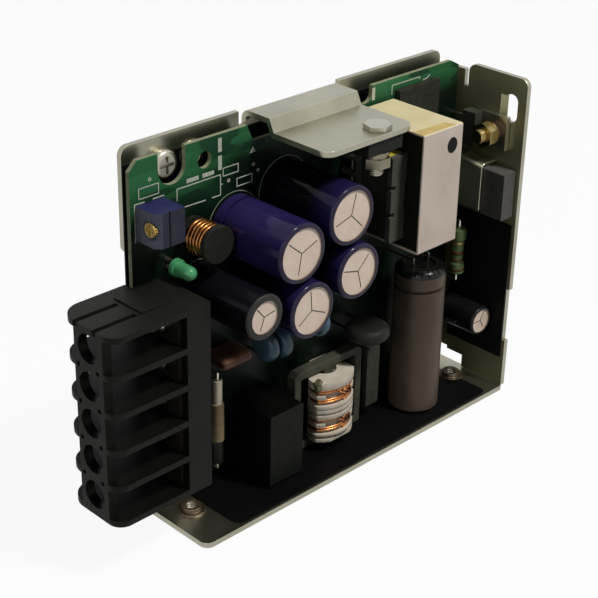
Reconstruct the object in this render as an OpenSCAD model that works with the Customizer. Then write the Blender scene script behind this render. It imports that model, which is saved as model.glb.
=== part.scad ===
// Open-frame power supply: a populated circuit board on a folded plated-steel bracket,
// with a five-way terminal block at its left end. Millimetres, real size.
// X runs along the bracket, Y from the open front to the back plate, Z is up.
// The origin is the centre of the base's underside.
// Places on the board are given from the base's left edge and underside, as [along, up].

/* [Bracket] */
// length of the base
base_l = 96.2; // [95:0.1:98]
// depth of the base, back plate included
base_d = 22.5; // [22:0.1:24]
// thickness of the steel sheet
sheet_t = 1.2; // [1:0.1:1.4]
// inside radius of the folds
bend_r = 1.0; // [0.8:0.1:1.2]
// height of the back plate
back_h = 82; // [81:0.1:84]
// height of the right plate
side_h = 78.8; // [78:0.1:80]
// how far the ear of the back plate stands out on the left
ear_w = 1.8; // [1.4:0.1:3.5]
// height of that ear
ear_h = 22.5; // [16:0.1:24]
// radius of the plate corners
plate_r = 2; // [1:0.1:3]
// left edge of the top tab
tab_x = 30; // [29:0.1:31]
// width of the top tab
tab_w = 25.2; // [24:0.1:26]
// reach of the tab in front of the back plate
tab_reach = 23.3; // [22.8:0.1:25]
// step down in the tab
tab_drop = 2.7; // [2:0.1:3]
// where the step starts, in front of the back plate
tab_step = 7; // [6:0.1:8]
// run of the slope in that step
tab_run = 1.3; // [0.8:0.1:2.4]
// width of the relief cuts beside the tab
relief_w = 1.8; // [1:0.1:2.4]
// outside diameter of the tapped collars in the base
collar_d = 4.3; // [4:0.1:5]
// height of the collars above the sheet
collar_h = 1.2; // [1:0.1:2.5]
// diameter of the collars' feet
collar_foot_d = 6; // [5.4:0.1:6.2]
// height of the feet above the sheet
collar_foot_h = 0.4; // [0.3:0.1:0.6]
// diameter of the tapped bores
tap_d = 2.5; // [2.4:0.1:2.7]
// distance between the collars
collar_span = 83.9; // [83:0.1:86]
// collars in front of the back plate
collar_y = 9.5; // [8.5:0.1:10]
// width of the slot in the right plate
slot_w = 3.5; // [3:0.1:4]
// height of that slot
slot_h = 6.6; // [6:0.1:7.5]
// slot in front of the back plate
slot_y = 17.2; // [16.8:0.1:17.6]
// height of the slot's centre
slot_z = 71.3; // [70:0.1:72]
// run of the slot's sloped edge
slot_slope = 1.3; // [0.8:0.1:1.6]
// diameter of the bosses under the board
boss_d = 6.4; // [5.8:0.1:7]
// height of the round pad behind the plain hole
pad_h = 0.6; // [0.4:0.1:1]
// thickness of the insulating sheet
film_t = 0.35; // [0.25:0.05:0.5]
// gap between insulating sheet and steel
film_gap = 0.05; // [0.03:0.01:0.1]
// front edge of the side insulator, in front of the back plate
side_film_y = 20.4; // [19:0.1:20.6]
// lower edge of the side insulator
side_film_z = 9; // [8:0.1:10]
// width of the side insulator
side_film_w = 16.6; // [15:0.1:17]
// height of the side insulator
side_film_h = 34.6; // [32:0.1:35]

/* [Circuit board] */
// thickness of the board
board_t = 1.0; // [0.8:0.1:1.8]
// gap from back plate to board, filled by the bosses
board_gap = 2.6; // [2.2:0.1:3]
// how far the board stands out past the base on the left
board_out = 2.85; // [2.5:0.05:3]
// gap from the board's right edge to the right plate
board_side_gap = 2.8; // [2.5:0.1:3]
// lower edge of the board
board_z = 3; // [2.6:0.1:3.4]
// board top edge below the top of the back plate
board_low = 1.7; // [1.5:0.1:2.2]
// radius of the notch for the ground screw
notch_r = 3.45; // [3.3:0.05:3.6]
// plain boss hole, [along, below the board's top edge]
hole_at = [15.9, 4.3]; // [3.8:0.1:20]
// first board screw, [along, up]
screw_1_at = [8.6, 8.4]; // [6:0.1:12]
// second board screw, [along, up]
screw_2_at = [84.5, 8.4]; // [6:0.1:88]
// ground screw, [along, below the board's top edge]
ground_at = [7.6, 3.7]; // [3:0.1:9]
// radius of component leads
lead_r = 0.35; // [0.3:0.01:0.4]
// gap round a lead in its board hole
lead_gap = 0.15; // [0.1:0.01:0.2]
// how far leads stand out behind the board
lead_tail = 1.1; // [0.8:0.1:1.2]
// gap between screws and the holes they pass
screw_gap = 0.12; // [0.08:0.01:0.2]
// radius of the board and terminal screw shanks
screw_r = 1.4; // [1.3:0.05:1.5]
// head radius of the board screws
board_head_r = 2.7; // [2.5:0.1:2.8]
// head height of the board screws
board_head_h = 1.8; // [1.6:0.1:2]

/* [Terminal block] */
// distance between neighbouring terminals
tb_pitch = 8.1; // [8:0.05:8.2]
// lower face of the block
tb_z = 12.6; // [12.4:0.1:14]
// thickness of the partitions
tb_rib = 1.3; // [1.1:0.1:1.4]
// how far the block stands out past the base
tb_out = 19.4; // [18.5:0.1:21]
// left face of the column, past the base's left edge
tb_column_x = 1.4; // [1.2:0.1:1.6]
// width of the column
tb_column_w = 5.9; // [5.5:0.1:6]
// front of the block, in front of the back plate
tb_front = 18; // [17:0.1:19]
// rear edge of the partitions, in front of the back plate
tb_rear = 1.5; // [1.3:0.1:1.7]
// thickness of the end wall
tb_wall = 2.2; // [1.8:0.1:2.6]
// screwdriver hole diameter
tb_hole_d = 6.1; // [5.8:0.1:6.2]
// screwdriver holes in front of the back plate
tb_hole_y = 10.7; // [10.4:0.1:11]
// front corner radius of the partitions
tb_front_r = 3; // [2:0.1:4]
// rear corner radius of the partitions
tb_rear_r = 5; // [4:0.1:5.5]
// thickness of the terminal strips
strip_t = 0.8; // [0.7:0.1:1]
// gap between strips and moulding
strip_gap = 0.25; // [0.15:0.05:0.4]
// terminal screw head diameter
term_head_d = 5.5; // [5.2:0.1:5.8]
// terminal screw head height
term_head_h = 2; // [1.6:0.1:2.4]
// length of the terminal screws behind their strips
term_screw_l = 4.2; // [3.6:0.1:4.4]
// length of the strips' feet
foot_l = 4.6; // [4.2:0.1:4.8]
// height of the strips' feet
foot_h = 4; // [3.6:0.1:4.4]
// front edge of the strips behind the block's front
strip_in = 1.6; // [1.2:0.1:2]
// width of the grooves in the block's top
groove_w = 1.2; // [0.8:0.1:1.4]
// depth of the grooves in the block's top
groove_d = 0.9; // [0.5:0.1:1]

/* [Trimmer, lamp and filter choke] */
// lower left corner of the trimmer, [along, above the terminal block]
trim_at = [-1.5, 9.6]; // [-2:0.1:12]
// length of the trimmer along the board
trim_l = 6.8; // [6.4:0.1:7]
// height of the trimmer
trim_h = 7.2; // [7:0.1:7.4]
// how far the trimmer stands off the board
trim_d = 6.4; // [6.2:0.1:7]
// dial radius
dial_r = 1.5; // [1.3:0.05:1.95]
// thickness of the dial
dial_t = 1.1; // [0.9:0.1:1.3]
// radius of the dial's spindle
dial_pin_r = 0.6; // [0.5:0.05:0.7]
// gap round the dial and its spindle
dial_gap = 0.15; // [0.12:0.01:0.2]
// dial axis in front of the board
dial_out = 4.2; // [4.1:0.1:4.3]
// dial axis above the trimmer's lower edge
dial_up = 3.6; // [3.4:0.1:3.8]
// lamp, [along, above the terminal block]
led_at = [5.9, 2.6]; // [2.4:0.1:6.2]
// lamp radius
led_r = 1.5; // [1.4:0.05:1.6]
// lamp flange in front of the board
led_stand = 2.6; // [2:0.1:3.2]
// length of the lamp from flange to tip
led_l = 5.6; // [5.2:0.1:6]
// filter choke, [along, below the board's top edge]
drum_at = [12.2, 18.7]; // [11.8:0.1:19.2]
// front flange radius of the choke core
drum_r = 4; // [3.8:0.1:4.2]
// length of the choke core
drum_l = 8.4; // [8:0.1:9]
// radius of the core inside the coil
drum_neck_r = 2; // [1.8:0.1:2.1]
// wire diameter of the coil
drum_wire = 0.9; // [0.8:0.05:1]
// outside radius of the coil
drum_coil_r = 4.1; // [3.2:0.1:4.2]

/* [Capacitors] */
// length of the output capacitors
out_cap_l = 20; // [19:0.1:21]
// first output capacitor, [along, below the board's top edge]
cap_1_at = [23.6, 20.1]; // [19.5:0.1:24]
// second output capacitor, [along, below the board's top edge]
cap_2_at = [37.4, 16.1]; // [15.5:0.1:38]
// third output capacitor, [along, below the board's top edge]
cap_3_at = [40.0, 29.3]; // [28.5:0.1:41]
// fourth output capacitor, [along, below the board's top edge]
cap_4_at = [26.8, 33.7]; // [26:0.1:34.4]
// fifth output capacitor, [along, below the board's top edge]
cap_5_at = [13.7, 30.6]; // [13:0.1:31.2]
// radius of the first two output capacitors
cap_big_r = 6.4; // [6.2:0.05:6.5]
// radius of the third and fourth output capacitors
cap_mid_r = 6.1; // [5.9:0.05:6.3]
// radius of the fifth output capacitor
cap_small_r = 4.9; // [4.7:0.05:5.1]
// lead pitch of the output capacitors
cap_pitch = 5; // [4.5:0.1:5.5]
// width of the sleeve edge round a capacitor's end disc
cap_rim = 1.0; // [0.8:0.05:1.2]
// bulk capacitor radius
bulk_r = 5.9; // [5.6:0.1:6.1]
// bulk capacitor length
bulk_l = 36.4; // [35:0.1:37]
// bulk capacitor axis, [along, in front of the board]
bulk_at = [73.0, 8.5]; // [8:0.1:74]
// lower end of the bulk capacitor
bulk_z = 2; // [1.8:0.1:2.4]
// rounding of the bulk capacitor's crimped end
bulk_crimp = 1.8; // [1.2:0.1:2]
// auxiliary capacitor, [along, up]
aux_at = [90.6, 19.0]; // [18.8:0.1:90.8]
// auxiliary capacitor radius
aux_r = 3.6; // [3:0.05:3.7]
// auxiliary capacitor length
aux_l = 13.6; // [12:0.1:14]
// mains capacitor left edge and lower edge
mains_at = [22.8, 2.4]; // [2.2:0.1:23]
// mains capacitor length, height and depth
mains_size = [9.6, 17.3, 12.4]; // [8:0.1:18]
// snubber capacitor width
snub_w = 4.1; // [3.8:0.1:4.2]
// snubber capacitor height
snub_h = 11.4; // [11:0.1:11.6]
// lower edge of the snubber capacitor
snub_z = 45.9; // [45.6:0.1:46]
// snubber capacitor reach in front of the board
snub_d = 16.7; // [16:0.1:17]
// blue disc radius
disc_r = 3.5; // [3.2:0.1:4.1]
// blue disc thickness
disc_t = 3.2; // [2.8:0.1:3.4]
// first blue disc, [along, above the middle of the gap under the capacitors]
disc_1_at = [28.2, 0.8]; // [0:0.1:29]
// second blue disc, [along, above the middle of the gap under the capacitors]
disc_2_at = [32.2, 0.3]; // [0:0.1:33]
// third blue disc, [along, above the middle of the gap under the capacitors]
disc_3_at = [43.4, 1.4]; // [0.5:0.1:44]
// dipped capacitor centre, [along, above the fuse's upper lead]
dip_at = [18.7, 2.4]; // [2.2:0.1:19]
// dipped capacitor length and thickness
dip_size = [8.4, 2.6]; // [2.4:0.1:9]
// dipped capacitor depth
dip_d = 6.4; // [6:0.1:7]

/* [Transformer] */
// left face of the core
tr_x = 57.4; // [57:0.1:58]
// width of the core along the board
tr_w = 11.6; // [11:0.1:11.9]
// top of the core below the board's top edge
tr_low = 4.4; // [4:0.1:5]
// middle of the core's window below its own middle
window_drop = 1.5; // [0:0.1:2]
// height of the core
tr_h = 26; // [25.6:0.1:26.2]
// depth of the core
tr_d = 19.2; // [18.8:0.1:19.4]
// core in front of the board
tr_stand = 1.2; // [1:0.1:1.4]
// thickness of the core's outer legs
tr_leg = 3.3; // [3:0.1:3.5]
// thickness of the core's ends
tr_end = 4.3; // [2.5:0.1:5]
// thickness of the white wrap
wrap_t = 0.35; // [0.25:0.05:0.4]
// former flange past the core on each side
former_out = 4.2; // [3.4:0.1:4.4]
// thickness of the former's flanges
flange_t = 1.2; // [1:0.1:2]
// gap between former, core and winding
tr_gap = 0.1; // [0.08:0.01:0.15]

/* [Line choke, fuse and small parts] */
// line choke core axis, [along, in front of the board]
choke_at = [46.8, 4.6]; // [4.4:0.1:47.2]
// width of the former's flanges
choke_w = 11.8; // [11.2:0.1:12.6]
// depth of the former's flanges
choke_d = 7.2; // [7:0.1:7.6]
// height of the former
choke_h = 15.1; // [14.5:0.1:15.6]
// front of the former, in front of the board
choke_front = 11.1; // [10.8:0.1:11.6]
// how far the former's middle lies left of the core leg
choke_shift = 0.6; // [0:0.1:0.8]
// corner radius of the flanges
choke_r = 3.2; // [2.8:0.1:3.4]
// radius of the flanges' bowed front
choke_bow = 8; // [7:0.1:10]
// radius of the former's hub round the core leg
choke_hub_r = 3.7; // [3.6:0.1:3.9]
// depth of the winding space
choke_wind = 1.2; // [1:0.1:1.3]
// edge of the flanges past the wire
choke_lip = 0.4; // [0.3:0.1:0.6]
// width of the former's feet on the board
choke_foot_w = 5; // [4.8:0.1:5.4]
// radius of the round notch in the top flange
choke_notch_r = 2.9; // [2.4:0.1:3]
// depth of the round notch
choke_notch_d = 0.9; // [0.6:0.1:1.2]
// how far the lowest flange's flat front lies behind the others
choke_flat = 0.6; // [0.4:0.1:0.8]
// gap under the former
choke_lift = 0.4; // [0.1:0.1:0.6]
// half width of the choke core's centre leg
choke_leg = 1.6; // [1.4:0.05:1.7]
// width of the core frame
frame_w = 21.2; // [20:0.1:22]
// lower edge of the core frame
frame_z = 1.8; // [1.7:0.1:2.1]
// height of the core frame
frame_h = 20.1; // [19.8:0.1:21.4]
// bar thickness of the core frame
frame_t = 2.0; // [1.8:0.1:2.1]
// depth of the core frame
frame_d = 2.6; // [2.2:0.1:2.8]
// fuse axis, [along, in front of the board]
fuse_at = [14.9, 4.4]; // [4:0.1:15.5]
// fuse radius at the sleeve
fuse_r = 1.4; // [1.3:0.05:1.6]
// lower end of the fuse
fuse_z = 8.8; // [8.4:0.1:9.2]
// length of the fuse
fuse_l = 19.8; // [19:0.1:20.4]
// radius of the fuse's bare upper end
fuse_end_r = 1.05; // [0.9:0.05:1.15]
// start of the fuse's sleeve above its lower end
sleeve_z = 5.4; // [5:0.1:6]
// length of the sleeve
sleeve_l = 8.9; // [8:0.1:10]
// thermistor centre, [along, above the line choke's frame]
therm_at = [56.4, 4.7]; // [4.2:0.1:57]
// thermistor radius
therm_r = 5.1; // [4.9:0.1:5.3]
// thermistor thickness
therm_t = 3.6; // [3.2:0.1:3.8]
// resistor axis, [along, in front of the board]
res_at = [89.2, 6.0]; // [5:0.1:90]
// resistor radius
res_r = 1.75; // [1.6:0.05:1.8]
// lower end of the resistor
res_z = 29.6; // [29:0.1:30]
// resistor length
res_l = 11.6; // [11:0.1:12]
// bridge rectifier lower left corner, [along, up]
bridge_at = [58.8, 5.0]; // [4.5:0.1:59.4]
// bridge rectifier width, height and depth
bridge_size = [4.1, 15.0, 6.4]; // [4:0.1:16]
// control module lower left corner, [along, below the board's top edge]
module_at = [70.9, 10.5]; // [10:0.1:71.2]
// control module length, height and thickness
module_size = [13.2, 7.9, 1.6]; // [1.2:0.1:13.4]

/* [Power devices] */
// thickness of a power device
dev_t = 4.3; // [4.1:0.1:4.5]
// thickness of a device's mounting tab
dev_tab_t = 1.3; // [1.2:0.1:1.5]
// transistor centre height
trans_z = 65.4; // [65:0.1:65.8]
// transistor width
trans_w = 7.9; // [7.6:0.1:8.1]
// rear face of the transistor, in front of the back plate
trans_rear = 7; // [6.8:0.1:7.4]
// length of the transistor, tab included
trans_l = 10.4; // [10:0.1:11]
// transistor screw in front of the back plate
trans_screw_y = 14; // [13.8:0.1:14.2]
// rectifier centre along the base
rect_x = 47.4; // [47:0.1:48]
// rectifier width
rect_w = 10; // [9.6:0.1:10.2]
// rectifier length
rect_l = 15.2; // [15:0.1:15.6]
// rectifier front end, in front of the back plate
rect_front = 22.6; // [22.2:0.1:22.8]
// rectifier bolt in front of the back plate
bolt_y = 20.1; // [19.9:0.1:20.3]
// fixing screw radius
bolt_r = 1.5; // [1.4:0.05:1.5]
// height of the rectifier bolt's head
bolt_head_h = 1.1; // [1:0.1:2]
// length of the rectifier bolt under its head
bolt_l = 9.8; // [9.2:0.1:10.8]
// distance across the flats of the nuts
nut_af = 5.2; // [5:0.1:5.5]
// thickness of the nuts
nut_t = 2.1; // [1.8:0.1:2.4]
// washer radius
washer_r = 2.8; // [2.7:0.1:3]
// washer thickness
washer_t = 0.6; // [0.5:0.1:0.7]
// thickness of the spring clip
clip_t = 0.6; // [0.5:0.1:0.7]

/* [Hidden] */
$fn = 48;
left_x = -base_l / 2;
back_y = base_d / 2 - sheet_t;
base_reach = base_d - sheet_t;
right_x = base_l - sheet_t;
board_front = board_gap + board_t;
board_top = back_h - board_low;
board_right = right_x - board_side_gap;
strip_top = back_h - 4.9;
slot_rear = 3.4;
back_end = right_x - 5.2;
cut_left = tab_x - 2.8;
cut_right = tab_x + tab_w + 6.4;
notch_in = 0.8;
film_top = back_h - 3.6;
tab_top = back_h - tab_drop;
tab_under = tab_top - sheet_t;
tab_mitre = sheet_t * tan(atan2(tab_drop, tab_run) / 2);
tb_ways = 5;
tb_h = tb_ways * tb_pitch + tb_rib;
tb_lift = 0.25;
dev_x = right_x - 0.15 - dev_t;
dip_r = dip_size[1] / 2;
tr_z = board_top - tr_low - tr_h;
core_mid = [tr_x + tr_w / 2, tr_z + tr_h / 2 - window_drop];
window_low = core_mid[1] - tr_h / 2 + tr_leg;
window_high = core_mid[1] + tr_h / 2 - tr_leg;
leg_half = 3.2;
lead_hole_r = lead_r + lead_gap;
collar_x = (base_l - collar_span) / 2;
choke_z = frame_z + frame_t + choke_lift;
nut_reach = nut_af / cos(30) / 2;
trans_body = trans_screw_y - trans_rear - max(washer_r, nut_reach) - 0.25;
far = 40;

// Places and lead positions

// height of terminal k's middle, counted from below
function way_z(k) = tb_z + tb_rib / 2 + tb_pitch * (k + 0.5);
// two leads side by side
function pair_x(p, s) = [[p[0] - s / 2, p[1]], [p[0] + s / 2, p[1]]];
// two leads one above the other
function pair_z(p, s) = [[p[0], p[1] - s / 2], [p[0], p[1] + s / 2]];

// a place given below the board's top edge
function hung(p) = [p[0], board_top - p[1]];

// places of the parts that hang from the board's top edge
hole_p = hung(hole_at);
ground_p = hung(ground_at);
drum_p = hung(drum_at);
cap_1_p = hung(cap_1_at);
cap_2_p = hung(cap_2_at);
cap_3_p = hung(cap_3_at);
cap_4_p = hung(cap_4_at);
cap_5_p = hung(cap_5_at);
module_p = hung(module_at);

// places of the parts above the terminal block
trim_p = trim_at + [0, tb_z + tb_h];
led_p = led_at + [0, tb_z + tb_h];

// the small parts between the line choke and the output capacitors
frame_top = frame_z + frame_h;
shelf_z = (frame_top + cap_4_p[1] - cap_mid_r) / 2;
disc_1_p = disc_1_at + [0, shelf_z];
disc_2_p = disc_2_at + [0, shelf_z];
disc_3_p = disc_3_at + [0, shelf_z];
therm_p = [therm_at[0], frame_top + therm_at[1]];

// lead places of each part
trim_leads = [for (q = [[1.2, 1.2], [5.6, 3.6], [1.2, 6.0]]) trim_p + q];
led_leads = pair_z(led_p, 1.8);
drum_leads = pair_x(drum_p, 5);
bulk_lead_z = bulk_z + bulk_l + 1.4;
bulk_leads = pair_x([bulk_at[0], bulk_lead_z], 5);
aux_leads = pair_z(aux_at, 2.5);
mains_leads = pair_z([mains_at[0] + mains_size[0] / 2, mains_at[1] + mains_size[1] / 2], 10);
fuse_top = fuse_z + fuse_l;
fuse_leads = [[fuse_at[0], fuse_z - 1.6], [fuse_at[0], fuse_top + 1.6]];
dip_p = [dip_at[0], fuse_leads[1][1] + dip_at[1]];
therm_leads = pair_x(therm_p, 5);
dip_leads = pair_x(dip_p, 5);
snub_lead_x = board_right - 0.9;
snub_leads = pair_z([snub_lead_x, snub_z + snub_h / 2], 7.5);
res_leads = [[res_at[0], res_z - 1.7], [res_at[0], res_z + res_l + 1.7]];
trans_leads = [for (i = [-1:1]) [board_right - 1.0, trans_z + i * 2.4]];
rect_lead_z = tab_under - 3.2;
rect_leads = [for (i = [-1:1]) [rect_x + i * 2.54, rect_lead_z]];
bridge_leads = [for (i = [0:3]) [bridge_at[0] + bridge_size[0] / 2, bridge_at[1] + 2 + i * 3.6]];
module_leads = [for (i = [0:4], j = [0, 1]) module_p + [1.6 + i * 2.5, 1 + j * 5.9]];
tr_pins = [for (i = [0:3], x = [tr_x - 1.9, tr_x + tr_w + 1.9]) [x, core_mid[1] - 5.4 + i * 3.6]];
choke_pins = [for (i = [0, 1], j = [0, 1])
  [choke_at[0] + 0.5 + i * (choke_foot_w - 1.8), choke_z + choke_h * (0.117 + j * 0.823)]];
term_pins = [for (k = [0:tb_ways - 1]) [1.6, way_z(k)]];

// Shared shapes

// a frame at the base's left edge, on the back plate's front face
module from_left() {
  translate([left_x, back_y, 0])
    children();
}

// a frame on the board's front face: right, up and out of the board
module on_board(p) {
  from_left()
    translate([p[0], -board_front, p[1]])
      rotate([90, 0, 0])
        children();
}

// a frame standing in front of the board, with its axis upright
module upright(p, z) {
  from_left()
    translate([p[0], -board_front - p[1], z])
      children();
}

// the piece that rounds off a corner at the origin
module corner(r) {
  difference() {
    translate([-1, -1])
      square(r + 1);
    translate([r, r])
      circle(r);
  }
}

// a rectangle with rounded corners
module round_rect(w, h, r) {
  translate([r, 0])
    square([w - 2 * r, h]);
  translate([0, r])
    square([w, h - 2 * r]);
  for (x = [r, w - r], y = [r, h - r])
    translate([x, y])
      circle(r);
}

// a quarter fold, from +x to +y
module fold(r, t, w) {
  rotate_extrude(angle = 90)
    translate([r, 0])
      square([t, w]);
}

// a straight lead from the given distance in front of the board to behind it
module lead(from, r = lead_r) {
  translate([0, 0, -board_t - lead_tail])
    cylinder(r = r, h = from + board_t + lead_tail, $fn = 20);
}

// leads at a list of places on the board
module leads(places, from) {
  for (p = places)
    on_board(p)
      lead(from);
}

// holes through the board at a list of places
module lead_holes(places, r = lead_hole_r) {
  for (p = places)
    translate([p[0], p[1]])
      circle(r, $fn = 20);
}

// a cross recess cut into a screw head whose face is at z = 0
module recess(w, d) {
  for (a = [0, 90])
    rotate(a)
      translate([-w / 2, -0.35, -d])
        cube([w, 0.7, d + 1]);
}

// a pan head with its underside at z = 0
module pan_head(r, h) {
  difference() {
    rotate_extrude() {
      square([r, h / 2]);
      square([r - h / 2, h]);
      intersection() {
        translate([r - h / 2, h / 2])
          circle(h / 2);
        square([r, h]);
      }
    }
    translate([0, 0, h])
      recess(r * 1.2, h * 0.45);
  }
}

// a six-sided nut with its underside at z = 0
module hex(af, h, bore) {
  difference() {
    cylinder(d = af / cos(30), h = h, $fn = 6);
    translate([0, 0, -1])
      cylinder(r = bore, h = h + 2);
  }
}

// a flat ring
module ring(r, bore, h) {
  difference() {
    cylinder(r = r, h = h);
    translate([0, 0, -1])
      cylinder(r = bore, h = h + 2);
  }
}

// a coated disc on the axis z, centred
module coated_disc(r, t) {
  rotate_extrude() {
    translate([0, -t / 2])
      square([r - t / 2, t]);
    intersection() {
      translate([r - t / 2, 0])
        circle(t / 2);
      translate([0, -t])
        square([r, 2 * t]);
    }
  }
}

// Bracket and insulation

module base_sheet() {
  translate([0, -base_reach, 0])
    linear_extrude(sheet_t)
      difference() {
        square([base_l, base_reach - bend_r]);
        corner(plate_r);
        translate([base_l, 0])
          rotate(45)
            square(1.6, center = true);
      }
  translate([0, -bend_r, sheet_t + bend_r])
    rotate([0, 90, 0])
      fold(bend_r, sheet_t, right_x - bend_r);
}

module back_outline() {
  difference() {
    union() {
      translate([0, sheet_t + bend_r])
        square([right_x - bend_r, strip_top - sheet_t - bend_r]);
      translate([-ear_w, back_h - ear_h])
        square([back_end + ear_w, ear_h]);
    }
    translate([-ear_w, back_h - ear_h])
      corner(plate_r);
    translate([-ear_w, back_h])
      mirror([0, 1])
        corner(plate_r);
    translate([back_end, back_h])
      rotate(180)
        corner(plate_r);
    translate([tab_x, back_h - sheet_t - bend_r])
      square([tab_w, far]);
    for (x = [tab_x - relief_w, tab_x + tab_w])
      translate([x, back_h - sheet_t - bend_r - 1])
        square([relief_w, far]);
    for (p = [hole_p, screw_1_at, screw_2_at, ground_p])
      translate(p)
        circle(d = tap_d);
  }
}

module side_outline() {
  difference() {
    translate([-base_reach, sheet_t + 0.2])
      square([base_reach - bend_r, side_h - sheet_t - 0.2]);
    translate([-base_reach, side_h])
      mirror([0, 1])
        corner(plate_r);
    translate([-slot_rear - 1.1, strip_top])
      square([far, far]);
    translate([-slot_rear - 1.1, strip_top - 3.8])
      square([1.1, far]);
    translate([-slot_rear - 1.1, side_h])
      rotate(180)
        corner(plate_r);
    translate([-8.7, 0])
      square([far, 4.6]);
    translate([-3.8, 0])
      square([far, 5.4]);
    translate([-base_reach - 1, 13.6])
      square([1 + notch_in, 13.6]);
    for (s = [-1, 1])
      translate([-slot_y, slot_z + s * (slot_h - slot_w) / 2])
        circle(d = slot_w);
    translate([-slot_y - slot_w / 2, slot_z - (slot_h - slot_w) / 2])
      square([slot_w, slot_h - slot_w]);
    translate([-trans_screw_y, trans_z])
      circle(bolt_r + screw_gap);
  }
}

module side_sheet() {
  difference() {
    translate([right_x, 0, 0])
      rotate([90, 0, 90])
        linear_extrude(sheet_t)
          side_outline();
    translate([right_x, -slot_y, slot_z - slot_h / 2 + 0.6])
      linear_extrude(slot_h - 1.2)
        polygon([[-0.01, 0], [-0.01, slot_w / 2 + slot_slope], [sheet_t, slot_w / 2], [sheet_t, 0]]);
  }
  translate([right_x - bend_r, -bend_r, 5.4])
    fold(bend_r, sheet_t, strip_top - 5.4);
}

module tab_sheet() {
  difference() {
    translate([tab_x, 0, 0])
      rotate([90, 0, 90])
        linear_extrude(tab_w)
          polygon([[-bend_r, back_h], [-tab_step, back_h], [-tab_step - tab_run, tab_top],
            [-tab_reach, tab_top], [-tab_reach, tab_under], [-tab_step - tab_run + tab_mitre, tab_under],
            [-tab_step + tab_mitre, back_h - sheet_t], [-bend_r, back_h - sheet_t]]);
    translate([0, 0, tab_under - 1])
      linear_extrude(sheet_t + 2) {
        translate([tab_x, -tab_reach])
          corner(2.5);
        translate([tab_x + tab_w, -tab_reach])
          mirror([1, 0])
            corner(2.5);
        translate([rect_x, -bolt_y])
          circle(bolt_r + screw_gap);
      }
  }
  translate([tab_x, -bend_r, back_h - sheet_t - bend_r])
    rotate([90, 0, 0])
      rotate([0, 90, 0])
        fold(bend_r, sheet_t, tab_w);
}

module chassis() {
  color("#a8a294")
    from_left()
      difference() {
        union() {
          base_sheet();
          translate([0, sheet_t, 0])
            rotate([90, 0, 0])
              linear_extrude(sheet_t)
                back_outline();
          side_sheet();
          tab_sheet();
          for (x = [collar_x, collar_x + collar_span])
            translate([x, -collar_y, sheet_t / 2]) {
              cylinder(d = collar_foot_d, h = sheet_t / 2 + collar_foot_h);
              cylinder(d = collar_d, h = sheet_t / 2 + collar_h);
            }
          for (p = [screw_1_at, screw_2_at])
            translate([p[0], sheet_t / 2, p[1]])
              rotate([90, 0, 0])
                cylinder(d = boss_d, h = board_gap + sheet_t / 2);
          translate([hole_p[0], sheet_t / 2, hole_p[1]])
            rotate([90, 0, 0])
              cylinder(d = boss_d, h = pad_h + sheet_t / 2);
        }
        for (x = [collar_x, collar_x + collar_span])
          translate([x, -collar_y, -1])
            cylinder(d = tap_d, h = far);
        for (p = [hole_p, screw_1_at, screw_2_at])
          translate([p[0], far / 2, p[1]])
            rotate([90, 0, 0])
              cylinder(d = tap_d + 2 * screw_gap + 0.3, h = far);
        translate([ground_p[0], far / 2, ground_p[1]])
          rotate([90, 0, 0])
            cylinder(r = screw_r + screw_gap, h = far / 2);
      }
}

module insulating_sheet() {
  film_z = sheet_t + film_gap;
  film_x = 9.4;
  film_l = right_x - 5 - film_x;
  color("#17171a")
    from_left() {
      translate([film_x, -base_reach + 0.5, film_z])
        linear_extrude(film_t)
          difference() {
            square([film_l, base_reach - 0.5 - bend_r]);
            corner(2.6);
            translate([film_l, 0])
              mirror([1, 0])
                corner(1.5);
            for (x = [collar_x, collar_x + collar_span])
              translate([x - film_x, base_reach - 0.5 - collar_y])
                circle(d = collar_foot_d + 0.4);
          }
      translate([film_x, -bend_r, sheet_t + bend_r])
        rotate([0, 90, 0])
          fold(bend_r - film_gap - film_t, film_t, film_l);
      translate([0, -film_gap, 0])
        rotate([90, 0, 0])
          linear_extrude(film_t)
            difference() {
              union() {
                translate([film_x, sheet_t + bend_r])
                  square([film_l, film_top - sheet_t - bend_r]);
                translate([-board_out + 1, tb_z])
                  square([board_right + board_out - 1.2, film_top - tb_z]);
              }
              for (p = [hole_p, screw_1_at, screw_2_at])
                translate(p)
                  circle(d = boss_d + 1);
              translate(ground_p)
                circle(notch_r + 0.2);
              translate(ground_p - [notch_r + 0.2, 0])
                square([2 * notch_r + 0.4, far]);
            }
    }
}

module side_insulator() {
  color("#1a1a1c")
    from_left()
      translate([right_x - film_gap - film_t, -side_film_y, side_film_z])
        cube([film_t, side_film_w, side_film_h]);
}

// Circuit board and its screws

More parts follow.
